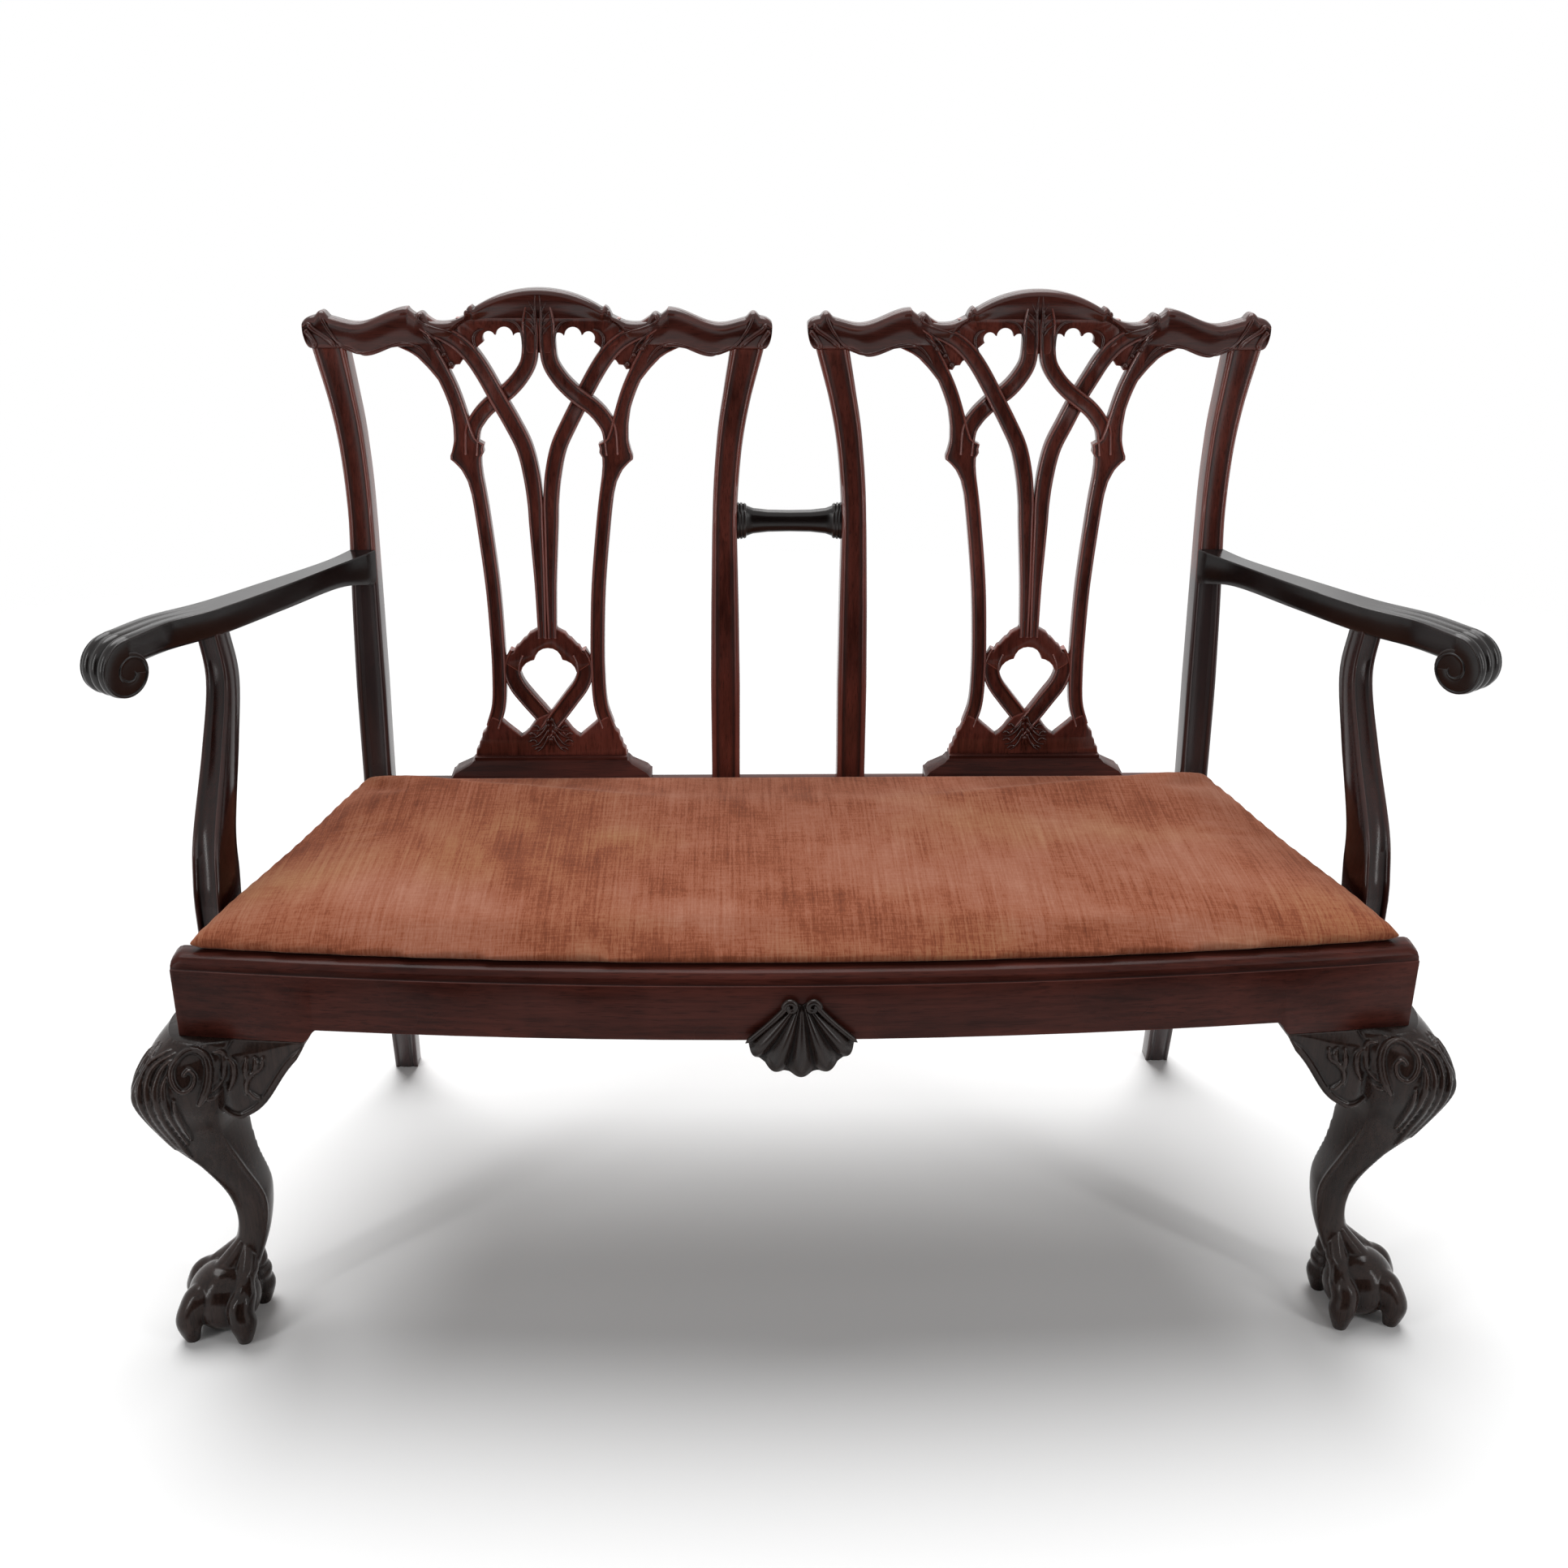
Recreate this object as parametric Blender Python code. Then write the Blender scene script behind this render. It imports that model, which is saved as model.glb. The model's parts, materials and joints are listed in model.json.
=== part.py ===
"""A chair-back settee: two pierced chair backs over one drop-in seat, on carved cabriole front legs.

Metres, +Z up, the front towards -Y and x = 0 in the middle. Shapes are worked out with the front corners
of the seat frame at y = 0 and the floor at z = 0. The whole is then centred front to back.
A piece of a pair is made for a side: -1 is the left one as the settee is looked at, +1 the right one.
"""

import math

import bmesh
import bpy
import numpy as np
from mathutils import Matrix, Vector

# Fits
CLEARANCE = 0.0003        # between pieces that touch
SEAT_CLEARANCE = 0.003    # round the drop-in seat

# Seat frame
FRONT_HALF_WIDTH = 0.604  # middle to the outer face at a front corner
FRONT_BOW = 0.040         # swell of the front rail at its middle
SEAT_DEPTH = 0.407        # front corner to the front of the back
RAIL_BOTTOM = 0.352       # floor to the underside of the rails
RAIL_RISE = 0.014         # how much higher the front rail's underside runs between the brackets
LEDGE_RISE = 0.060        # underside of the rails to the ledge under the seat
LIP_HEIGHT = 0.025        # ledge to the top of the rails
FRONT_RAIL_THICKNESS = 0.045
FRONT_LIP = 0.030         # wood in front of the drop-in seat
SIDE_RAIL_THICKNESS = 0.032
SIDE_LIP = 0.008
REAR_RAIL_THICKNESS = 0.030
EDGE_MOULDING = 0.012     # thumb moulding round the top edge
EDGE_QUIRK = 0.002        # step under that moulding
REAR_LEDGE_WIDTH = 0.026
REAR_LEDGE_HEIGHT = 0.022
TENON_LENGTH = 0.016
TENON_THICKNESS = 0.010
RAIL_TENON_HEIGHT = 0.028
BLOCK_LEG = 0.070         # corner block along each rail
BLOCK_HEIGHT = 0.028
BLOCK_UNDER_LEDGE = 0.026
BLOCK_SCREW_PLACE = 0.45  # place of the screw along the block's long face

# Chair backs
BACK_AXIS = 0.2755        # middle of the settee to the middle of a chair back
STILE_OFFSET = 0.2025     # middle of a chair back to the middle of a stile, at the seat
STILE_WIDTH = 0.030
STILE_TOP_WIDTH = 0.0205  # under the crest
STILE_DEPTH = 0.031
STILE_BEAD = 0.0055       # bead along each front edge
STILE_EDGE = 0.003        # how far the edge falls back from the bead
STILE_HOLLOW = 0.0025
BACK_RISE = 0.489         # top of the rails to the crest joint
BACK_RAKE = 0.077         # slope of the back at the seat
BACK_RADIUS = 3.28        # bow of the back, seen from the side
FLARE_START = 0.285       # top of the rails to where the stiles start to spread
FLARE_RADIUS = 0.89
REAR_LEG_RADIUS = 0.83    # backward sweep of the rear legs
REAR_SPLAY = 0.014        # sideways spread of the rear feet
REAR_FOOT_WIDTH = 0.029
REAR_FOOT_DEPTH = 0.026

# Crest rails, with heights from the crest joint
CREST_DEPTH = 0.027
CREST_ROUND = 0.006
CREST_HOLLOW = 0.003
CREST_PROUD = 0.001       # how far the crest stands in front of the stiles
EAR_OVERHANG = 0.020      # crest past the outer face of a stile
EAR_HEIGHT = 0.034
EAR_LEAF = 0.017          # end of the crest to the tip of the ear
EAR_MIDDLE = 0.022
DIP_HEIGHT = 0.0265
DIP_INSET = 0.030         # stile to the lowest point of the crest's top
SHOULDER_X = 0.142
SHOULDER_HEIGHT = 0.0425
SCOOP_DEPTH = 0.014
ARCH_HALF = 0.073
ARCH_SPRING = 0.040
ARCH_RISE = 0.022
SPLAT_JOINT_HALF = 0.080  # half the level stretch of the underside over the splat
SPLAT_JOINT_RISE = 0.025
SHOULDER_UNDER = 0.0035
SHOULDER_UNDER_X = 0.104
UNDER_DROP = 0.005

# Splats
SPLAT_THICKNESS = 0.014
SPLAT_SETBACK = 0.003     # front of the stiles to the front of the splat
STRAP_HALF = 0.0078
STRAP_EDGE = 0.0025
STRAP_HOLLOW = 0.0022
STRAP_BEAD = 0.6          # place of the bead across half a strap
WEB_INSET = 0.0015        # plain webs lie behind the straps
WEAVE = 0.0025            # how far one strap passes over the other
RING_WEAVE = 0.75         # share of that where the ring's straps cross
SPLAT_UNIT = 0.001        # unit of the splat's drawing
SPLAT_TENON_HALF = 0.060
SPLAT_TENON = 0.006
SPLAT_FACES = 0.55        # share of the joined faces that is kept
SPLAT_TENON_ROOT = 0.002  # part of the upper tenon inside the splat, over its openings
SHOE_HEIGHT = 0.035
SHOE_HALF = 0.116
SHOE_TOP_HALF = 0.088
SHOE_PROJECTION = 0.012
SHOE_TOP_PROJECTION = 0.002
SHOE_THICKNESS = 0.024
SHOE_FOOT = 0.013         # plain part of the shoe behind the seat
SHOE_FILLET = 0.004       # plain edge at the top of the shoe
SHOE_QUIRK = 0.0006       # height of the step between the shoe's hollow and its plain parts
SHOE_STEP = 0.06          # share of the shoe's slope in each step

# Rail between the two chair backs
LINK_RISE = 0.302
LINK_HALF_HEIGHT = 0.011
LINK_COLLAR = 0.0175
LINK_COLLAR_WIDTH = 0.010
LINK_HALF_DEPTH = 0.0075

# Arms
ARM_RISE = 0.274          # top of the rails to the top of the arm at the post
ARM_HEIGHT = 0.038
ARM_THICKNESS = 0.025
ARM_DIP = 0.012           # how much lower the top runs at the elbow
ELBOW_INSET = 0.004       # front corner to the middle of the elbow, sideways
ELBOW_RUN = 0.149         # front of the back to the middle of the elbow
ELBOW_WIDTH = 0.034
ARM_WIDTH = 0.023         # just in front of the post
WRIST_BOW = 0.010         # how far the arm bends outwards between the elbow and the scroll
SCROLL_OUT = 0.060        # elbow to the middle of the scroll, sideways
SCROLL_RUN = 0.114        # elbow to the middle of the scroll, forwards
SCROLL_DROP = 0.037       # top of the arm at the post to the middle of the scroll
SCROLL_RADIUS = 0.033
SCROLL_END_RADIUS = 0.0185
SCROLL_WIDTH = 0.036
SCROLL_HEADING = 36.0     # degrees outwards from straight ahead
SCROLL_START = 115.0      # where the spiral leaves the arm, in degrees
SCROLL_END = -170.0
SUPPORT_Y = 0.118
SUPPORT_HALF_THICKNESS = 0.0155
SUPPORT_HALF_DEPTH = 0.024
SUPPORT_TOP_HALF_THICKNESS = 0.0125
SUPPORT_TOP_HALF_DEPTH = 0.0135
SUPPORT_FOOT_RISE = 0.010
SUPPORT_TENON_HALF = 0.007

# Front legs. Distances run along the diagonal of the corner, outwards from the leg's axis
LEG_INSET_X = 0.014
LEG_INSET_Y = 0.015
LEG_CORNER = 0.018        # outer corner of the leg under the rail
LEG_HEEL = -0.042         # inner corner of the leg under the rail
KNEE_REACH = 0.075
KNEE_DROP = 0.052
KNEE_HALF = 0.038
ANKLE_FRONT = -0.017
ANKLE_BACK = -0.056
ANKLE_HALF = 0.0185
ANKLE_HEIGHT = 0.130
LEG_TENON_HALF = 0.011
LEG_TENON_LENGTH = 0.013
BALL_RADIUS = 0.037
BALL_REACH = 0.012
BALL_SINK = 0.003         # part of the ball cut off flat on the floor
TALON_RADIUS = 0.0115
TALON_OUT = 0.006         # middle of a talon past the ball
TALON_BEARINGS = (0, 82, -82, 180)
FOOT_BASE = 0.055         # where the leg runs into the ball
BRACKET_LENGTH = 0.075
BRACKET_DROP = 0.082
BRACKET_DEPTH = 0.034
BRACKET_SWELL = 0.014
BRACKET_REACH = 0.124     # front corner to the tip of a front bracket
SIDE_BRACKET_Y = 0.030    # front corner to the root of a side bracket

# Shell on the front rail
SHELL_TOP = 0.060         # underside of the rails to the hinge of the shell
SHELL_HALF_ANGLE = 49.0
SHELL_DROP = 0.083        # hinge to the lowest lobe
SHELL_SIDE = 0.070        # hinge to the outermost lobe
SHELL_RIBS = 7
SHELL_DEPTH = 0.015
SHELL_FLUTE = 0.004
SHELL_EDGE = 0.006

# Drop-in seat
MEMBER_WIDTH = 0.055
MEMBER_THICKNESS = 0.019
CROSS_WIDTH = 0.045
WEB_WIDTH = 0.050
WEB_THICKNESS = 0.0012
WEB_SPACING = 0.200       # between webs that run front to back
WEB_ROW_SPACING = 0.110   # between webs that run side to side
WEB_LAP = 0.030           # how far a web lies on the frame
HESSIAN_THICKNESS = 0.0008
HESSIAN_INSET = 0.012
PAD_HEIGHT = 0.031
PAD_EDGE = 0.018          # height of the pad's side
PAD_DRAW = 0.004          # how far the side is drawn in at the bottom
PAD_SWELL = 0.006         # how far the side swells out over the lip
DUST_THICKNESS = 0.0008

# Screws
SCREW_RADIUS = 0.0025
SCREW_HEAD_RADIUS = 0.005
SCREW_HEAD_HEIGHT = 0.003
SCREW_SINK = 0.018        # grip of a screw in the piece that it holds
SCREW_COUNTERBORE = 0.010
ARM_SCREW_OUT = 0.004     # the arm's screw is off the post's middle, because the arm turns outwards
ARM_SCREW_SINK = 0.012
SCREW_ACCESS = 0.030      # room for the driver behind a head

# Edges sharper than this stay crisp when shaded, in degrees
SHARP_ANGLE = 40.0

# Levels and places worked out from these
BRACKET_TIP = FRONT_HALF_WIDTH - BRACKET_REACH
ELBOW_X = FRONT_HALF_WIDTH - ELBOW_INSET
ELBOW_Y = SEAT_DEPTH - ELBOW_RUN
SCROLL_X = ELBOW_X + SCROLL_OUT
SCROLL_Y = ELBOW_Y - SCROLL_RUN
LEDGE = RAIL_BOTTOM + LEDGE_RISE
RAIL_TOP = LEDGE + LIP_HEIGHT
POST_TOP = RAIL_TOP + BACK_RISE
SHOE_TOP = RAIL_TOP + SHOE_HEIGHT
SPLAT_TOP = POST_TOP + SPLAT_JOINT_RISE
POST_INNER = BACK_AXIS + STILE_OFFSET - STILE_WIDTH / 2
POST_OUTER = POST_INNER + STILE_WIDTH
ARM_TOP = RAIL_TOP + ARM_RISE
SEAT_BACK = SEAT_DEPTH - SHOE_PROJECTION - SEAT_CLEARANCE
FRAME_BOTTOM = LEDGE + CLEARANCE
FRAME_TOP = FRAME_BOTTOM + MEMBER_THICKNESS
WEB_LEVEL = FRAME_TOP + CLEARANCE
ROW_LEVEL = WEB_LEVEL + WEB_THICKNESS + CLEARANCE
HESSIAN_LEVEL = ROW_LEVEL + WEB_THICKNESS + CLEARANCE
PAD_LEVEL = HESSIAN_LEVEL + HESSIAN_THICKNESS + CLEARANCE

# Finishes: colour, roughness, metallic
RED_MAHOGANY = ((0.055, 0.016, 0.010), 0.30, 0.0)
DARK_MAHOGANY = ((0.022, 0.010, 0.008), 0.35, 0.0)
LEG_MAHOGANY = ((0.016, 0.009, 0.007), 0.45, 0.0)
BEECH = ((0.36, 0.22, 0.11), 0.6, 0.0)
JUTE = ((0.35, 0.24, 0.13), 0.9, 0.0)
RUST_VELVET = ((0.30, 0.085, 0.035), 0.85, 0.0)
BLACK_CAMBRIC = ((0.02, 0.02, 0.02), 0.9, 0.0)
STEEL = ((0.45, 0.44, 0.42), 0.4, 1.0)


# Curves

def through(points, per_span):
    """A smooth curve through the given points, with so many steps between two of them."""
    points = [np.array(p, float) for p in points]
    padded = [2 * points[0] - points[1]] + points + [2 * points[-1] - points[-2]]
    curve = []
    for a, b, c, d in zip(padded, padded[1:], padded[2:], padded[3:]):
        for step in range(per_span):
            t = step / per_span
            bend = (2 * a - 5 * b + 4 * c - d) * t * t + (3 * b - a - 3 * c + d) * t ** 3
            curve.append(0.5 * (2 * b + (c - a) * t + bend))
    curve.append(points[-1])
    return curve


def blend(a, b, t):
    return a + (b - a) * t


def eased(t):
    """0 to 1 with level ends."""
    return 0.5 - 0.5 * math.cos(math.pi * min(max(t, 0.0), 1.0))


def height_on(line, z):
    """Value at height z on a curve of (z, value) points that runs downwards."""
    for (z0, v0), (z1, v1) in zip(line, line[1:]):
        if z >= z1:
            return blend(v0, v1, (z0 - z) / (z0 - z1))
    return line[-1][1]


def front_y(x):
    """Front face of the bowed front rail."""
    return -FRONT_BOW * (1 - (x / FRONT_HALF_WIDTH) ** 2)


def side_x(y):
    """Outer face of the right side rail at depth y."""
    return blend(FRONT_HALF_WIDTH, POST_OUTER, y / SEAT_DEPTH)


def back_y(z):
    """Front face of the back at height z: raked and bowed above the seat, swept back below it."""
    rise = z - RAIL_TOP
    radius = BACK_RADIUS if rise > 0 else REAR_LEG_RADIUS
    return SEAT_DEPTH + BACK_RAKE * rise + rise * rise / (2 * radius)


def flare(z):
    """How far a stile has spread from the chair back's middle at height z."""
    return max(z - RAIL_TOP - FLARE_START, 0.0) ** 2 / (2 * FLARE_RADIUS)


def stile_x(z):
    return STILE_OFFSET + flare(z)


def stile_width(z):
    """Stiles taper from where they start to spread up to the crest."""
    rise = max(z - RAIL_TOP - FLARE_START, 0.0) / (BACK_RISE - FLARE_START)
    return blend(STILE_WIDTH, STILE_TOP_WIDTH, rise)


# Meshes

def mesh_of(bm):
    bmesh.ops.recalc_face_normals(bm, faces=bm.faces)
    mesh = bpy.data.meshes.new("solid")
    bm.to_mesh(mesh)
    bm.free()
    return mesh


def loft(rings):
    """A closed skin over rings that have equal numbers of points."""
    bm = bmesh.new()
    loops = [[bm.verts.new(p) for p in ring] for ring in rings]
    for lower, upper in zip(loops, loops[1:]):
        for i in range(len(lower)):
            j = (i + 1) % len(lower)
            bm.faces.new((lower[i], lower[j], upper[j], upper[i]))
    bmesh.ops.triangulate(bm, faces=bm.faces)
    bm.faces.new(loops[0])
    bm.faces.new(loops[-1])
    return mesh_of(bm)


def prism(outline, low, high):
    """A plan outline raised from one level to another."""
    return loft([[(x, y, z) for x, y in outline] for z in (low, high)])


def box(low, high):
    (x0, y0, z0), (x1, y1, z1) = low, high
    return prism([(x0, y0), (x1, y0), (x1, y1), (x0, y1)], z0, z1)


def grown(low, high):
    """The corners of a box with the clearance added on every side."""
    return [v - CLEARANCE for v in low], [v + CLEARANCE for v in high]


def moved(tenon, x):
    """The corners of a tenon shifted along x."""
    low, high = tenon
    return (low[0] + x, *low[1:]), (high[0] + x, *high[1:])


def rod(start, direction, length, radius, sides=10):
    """A round bar from a point along a direction."""
    bm = bmesh.new()
    turn = Vector((0, 0, 1)).rotation_difference(Vector(direction)).to_matrix().to_4x4()
    place = Matrix.Translation(start) @ turn @ Matrix.Translation((0, 0, length / 2))
    bmesh.ops.create_cone(bm, cap_ends=True, segments=sides, radius1=radius, radius2=radius,
                          depth=length, matrix=place)
    return mesh_of(bm)


def combined(mesh, tool, operation, solver="EXACT"):
    """Two meshes joined, or one cut by the other."""
    pair = [bpy.data.objects.new("solid", m) for m in (mesh, tool)]
    for each in pair:
        bpy.context.scene.collection.objects.link(each)
    step = pair[0].modifiers.new("step", "BOOLEAN")
    step.operation = operation
    step.solver = solver
    step.object = pair[1]
    depsgraph = bpy.context.evaluated_depsgraph_get()
    result = bpy.data.meshes.new_from_object(pair[0].evaluated_get(depsgraph))
    for each in pair:
        bpy.data.objects.remove(each)
    return result


def join(mesh, *others):
    for other in others:
        mesh = combined(mesh, other, "UNION")
    return mesh


def cut(mesh, *tools):
    for tool in tools:
        mesh = combined(mesh, tool, "DIFFERENCE")
    return mesh


def mortise(mesh, tenon):
    """The mesh with the socket for a tenon, given by its corners."""
    return cut(mesh, box(*grown(*tenon)))


def simplified(mesh, share):
    """The same solid with a share of its faces: joining leaves many small ones."""
    piece = bpy.data.objects.new("solid", mesh)
    bpy.context.scene.collection.objects.link(piece)
    piece.modifiers.new("fewer", "DECIMATE").ratio = share
    depsgraph = bpy.context.evaluated_depsgraph_get()
    result = bpy.data.meshes.new_from_object(piece.evaluated_get(depsgraph))
    bpy.data.objects.remove(piece)
    return result


def fattened(mesh, distance):
    """A copy with every face moved outwards."""
    bm = bmesh.new()
    bm.from_mesh(mesh)
    bm.normal_update()
    for vert in bm.verts:
        vert.co += vert.normal * vert.calc_shell_factor() * distance
    return mesh_of(bm)


# Scene

def clear_scene():
    for old in list(bpy.data.objects):
        bpy.data.objects.remove(old)


def group(name, parent=None, location=(0, 0, 0)):
    empty = bpy.data.objects.new(name, None)
    empty.location = location
    empty.parent = parent
    bpy.context.scene.collection.objects.link(empty)
    return empty


def place(name, mesh, finish, parent, location=(0, 0, 0)):
    """A named piece with its own material."""
    colour, roughness, metallic = finish
    look = bpy.data.materials.new(name)
    look.use_nodes = True
    shader = look.node_tree.nodes["Principled BSDF"]
    shader.inputs["Base Color"].default_value = (*colour, 1)
    shader.inputs["Roughness"].default_value = roughness
    shader.inputs["Metallic"].default_value = metallic
    mesh.materials.clear()
    mesh.materials.append(look)
    mesh.shade_smooth()
    mesh.set_sharp_from_angle(angle=math.radians(SHARP_ANGLE))
    piece = bpy.data.objects.new(name, mesh)
    piece.location = location
    piece.parent = parent
    bpy.context.scene.collection.objects.link(piece)
    return piece


def side_name(side):
    return "left" if side < 0 else "right"


# Chair backs, in the frame of one chair back: x = 0 is its middle

def stile_ring(side, z, width, depth, moulded):
    """Section of a stile at height z, with a bead along each front edge."""
    middle = side * (stile_x(z) + rear_splay(z))
    half = width / 2
    edge, hollow = STILE_EDGE, STILE_HOLLOW * moulded
    section = [(-half, depth), (-half, edge), (STILE_BEAD - half, 0), (0, hollow),
               (half - STILE_BEAD, 0), (half, edge), (half, depth)]
    return [(middle + across, back_y(z) + back, z) for across, back in section]


def rear_splay(z):
    return REAR_SPLAY * max(1 - z / RAIL_BOTTOM, 0.0) ** 2


def stile_top_tenon(side):
    """Corners of the tenon that holds the crest."""
    x = side * stile_x(POST_TOP)
    y = back_y(POST_TOP) + STILE_DEPTH / 2
    half = TENON_THICKNESS / 2
    return (x - half, y - half, POST_TOP - TENON_LENGTH), (x + half, y + half, POST_TOP + TENON_LENGTH)


def stile_foot_tenon(side):
    """Corners of the tenon that holds an inner stile in the rear rail."""
    x = side * stile_x(RAIL_TOP)
    y = SEAT_DEPTH + STILE_DEPTH / 2
    half = TENON_THICKNESS / 2
    return (x - half, y - half, RAIL_TOP - TENON_LENGTH), (x + half, y + half, RAIL_TOP + TENON_LENGTH)


def upper_heights():
    """Heights of the sections of a stile from the seat to the crest joint."""
    straight = RAIL_TOP + FLARE_START
    bottom = RAIL_TOP + CLEARANCE
    lower = [blend(bottom, straight, t / 3) for t in range(4)]
    upper = [blend(straight, POST_TOP - CLEARANCE, t / 5) for t in range(1, 6)]
    return lower + upper


def inner_stile(side):
    """A stile that stands on the rear rail."""
    rings = [stile_ring(side, z, stile_width(z), STILE_DEPTH, 1) for z in upper_heights()]
    return join(loft(rings), box(*stile_top_tenon(side)), box(*stile_foot_tenon(side)))


def rear_post(side):
    """Rear leg and outer stile in one piece."""
    rings = []
    for step in range(6):
        t = step / 6
        width = blend(REAR_FOOT_WIDTH, STILE_WIDTH, t)
        depth = blend(REAR_FOOT_DEPTH, STILE_DEPTH, t)
        rings.append(stile_ring(side, RAIL_BOTTOM * t, width, depth, 0))
    for z in (RAIL_BOTTOM, RAIL_TOP - CLEARANCE):
        rings.append(stile_ring(side, z, STILE_WIDTH, STILE_DEPTH, 0))
    rings += [stile_ring(side, z, stile_width(z), STILE_DEPTH, 1) for z in upper_heights()]
    return join(loft(rings), box(*stile_top_tenon(side)))


def crest_ends():
    """Middle of the stile, its outer face and the end of the crest, at the crest joint."""
    stile = stile_x(POST_TOP)
    outer = stile + STILE_TOP_WIDTH / 2
    return stile, outer, outer + EAR_OVERHANG


def crest_top(x):
    """Upper outline: arch, scoop, shoulder, long dip and ear."""
    x = abs(x)
    stile, outer, end = crest_ends()
    ear = end - EAR_LEAF
    dip = stile - DIP_INSET
    if x <= ARCH_HALF:
        radius = (ARCH_HALF ** 2 + ARCH_RISE ** 2) / (2 * ARCH_RISE)
        return POST_TOP + ARCH_SPRING + ARCH_RISE - radius + math.sqrt(radius ** 2 - x ** 2)
    if x <= SHOULDER_X:
        along = (x - ARCH_HALF) / (SHOULDER_X - ARCH_HALF)
        tips = blend(ARCH_SPRING, SHOULDER_HEIGHT, along)
        return POST_TOP + tips - SCOOP_DEPTH * math.sin(math.pi * along) ** 0.7
    if x <= dip:
        return POST_TOP + blend(SHOULDER_HEIGHT, DIP_HEIGHT, eased((x - SHOULDER_X) / (dip - SHOULDER_X)))
    if x <= ear:
        return POST_TOP + blend(DIP_HEIGHT, EAR_HEIGHT, eased((x - dip) / (ear - dip)))
    fall = math.sqrt(max(1 - ((x - ear) / (end - ear)) ** 2, 0.0))
    return POST_TOP + blend(EAR_MIDDLE + CREST_ROUND / 2, EAR_HEIGHT, fall)


def crest_under(x):
    """Lower outline: level over the splat, a low shoulder, a shallow belly and the stile joint."""
    x = abs(x)
    stile, outer, end = crest_ends()
    inner = stile - STILE_TOP_WIDTH / 2
    belly = blend(SHOULDER_UNDER_X, inner, 0.8)
    if x <= SPLAT_JOINT_HALF:
        return SPLAT_TOP
    if x <= SHOULDER_UNDER_X:
        along = (x - SPLAT_JOINT_HALF) / (SHOULDER_UNDER_X - SPLAT_JOINT_HALF)
        return blend(SPLAT_TOP, POST_TOP + SHOULDER_UNDER, eased(along))
    if x <= belly:
        along = (x - SHOULDER_UNDER_X) / (belly - SHOULDER_UNDER_X)
        return POST_TOP + blend(SHOULDER_UNDER, -UNDER_DROP, eased(along * 2 - 1))
    if x <= inner:
        return POST_TOP - UNDER_DROP * eased((inner - x) / (inner - belly))
    if x <= outer:
        return POST_TOP
    return POST_TOP + EAR_MIDDLE * (1 - math.sqrt(max(1 - ((x - outer) / (end - outer)) ** 2, 0.0)))


def crest_stations():
    """Places along half a crest where its section is drawn."""
    stile, outer, end = crest_ends()
    inner = stile - STILE_TOP_WIDTH / 2
    marks = [0, ARCH_HALF, SPLAT_JOINT_HALF, SHOULDER_UNDER_X, SHOULDER_X, inner, outer, end]
    steps = [6, 2, 4, 5, 5, 2, 5]
    half = [blend(a, b, i / n) for a, b, n in zip(marks, marks[1:], steps) for i in range(n)]
    return half + [end]


def crest_section(x):
    low, high = crest_under(x), crest_top(x)
    corner = min(CREST_ROUND, (high - low) / 3)
    middle = (low + high) / 2
    front, back = -CREST_PROUD, CREST_DEPTH - CREST_PROUD
    outline = [(front + corner, low), (back - corner, low), (back, low + corner), (back, high - 2 * corner),
               (back - corner, high - corner / 2), (front + corner, high), (front, high - corner),
               (front + CREST_HOLLOW, middle), (front, low + corner)]
    return [(x, back_y(z) + depth, z) for depth, z in outline]


def splat_top_tenon():
    y = back_y(SPLAT_TOP) + SPLAT_SETBACK + SPLAT_THICKNESS / 2
    half = SPLAT_TENON / 2
    return ((-SPLAT_TENON_HALF, y - half, SPLAT_TOP - SPLAT_TENON_ROOT),
            (SPLAT_TENON_HALF, y + half, SPLAT_TOP + TENON_LENGTH / 2))


def splat_foot_tenon():
    y = back_y(SHOE_TOP) + SPLAT_SETBACK + SPLAT_THICKNESS / 2
    half = SPLAT_TENON / 2
    return ((-SPLAT_TENON_HALF, y - half, SHOE_TOP - TENON_LENGTH),
            (SPLAT_TENON_HALF, y + half, SHOE_TOP + TENON_LENGTH / 2))


def crest_rail():
    half = crest_stations()
    stations = [-x for x in reversed(half[1:])] + half
    solid = loft([crest_section(x) for x in stations])
    for tenon in (stile_top_tenon(-1), stile_top_tenon(1), splat_top_tenon()):
        solid = mortise(solid, tenon)
    return solid


def below_crest(*points):
    """Points of the splat's drawing given by their distance below the crest joint."""
    return [(x * SPLAT_UNIT, SPLAT_TOP - drop * SPLAT_UNIT) for x, drop in points]


def above_shoe(*points):
    """Points of the splat's drawing given by their height above the shoe."""
    return [(x * SPLAT_UNIT, SHOE_TOP + rise * SPLAT_UNIT) for x, rise in points]


def strap(path, lift, side, per_span=2):
    """A moulded strap along a path on the back. The lift, a share of the weave, brings it forwards."""
    line = through([(side * x, z, up * WEAVE) for (x, z), up in zip(path, lift)], per_span)
    section = [(-1, SPLAT_THICKNESS), (-1, STRAP_EDGE), (-STRAP_BEAD, 0), (0, STRAP_HOLLOW),
               (STRAP_BEAD, 0), (1, STRAP_EDGE), (1, SPLAT_THICKNESS)]
    rings = []
    for i, (x, z, up) in enumerate(line):
        ahead = line[min(i + 1, len(line) - 1)] - line[max(i - 1, 0)]
        length = math.hypot(ahead[0], ahead[1])
        across = (-ahead[1] / length * STRAP_HALF, ahead[0] / length * STRAP_HALF)
        ring = []
        for share, depth in section:
            at = z + across[1] * share
            ring.append((x + across[0] * share, back_y(at) + SPLAT_SETBACK + depth - up, at))
        rings.append(ring)
    return loft(rings)


def web(outline, side, inset):
    """A plain web of the splat, given by its outline on the back."""
    faces = []
    for depth in (inset, SPLAT_THICKNESS - inset):
        faces.append([(side * x, back_y(z) + SPLAT_SETBACK + depth, z) for x, z in outline])
    return loft(faces)


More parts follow.
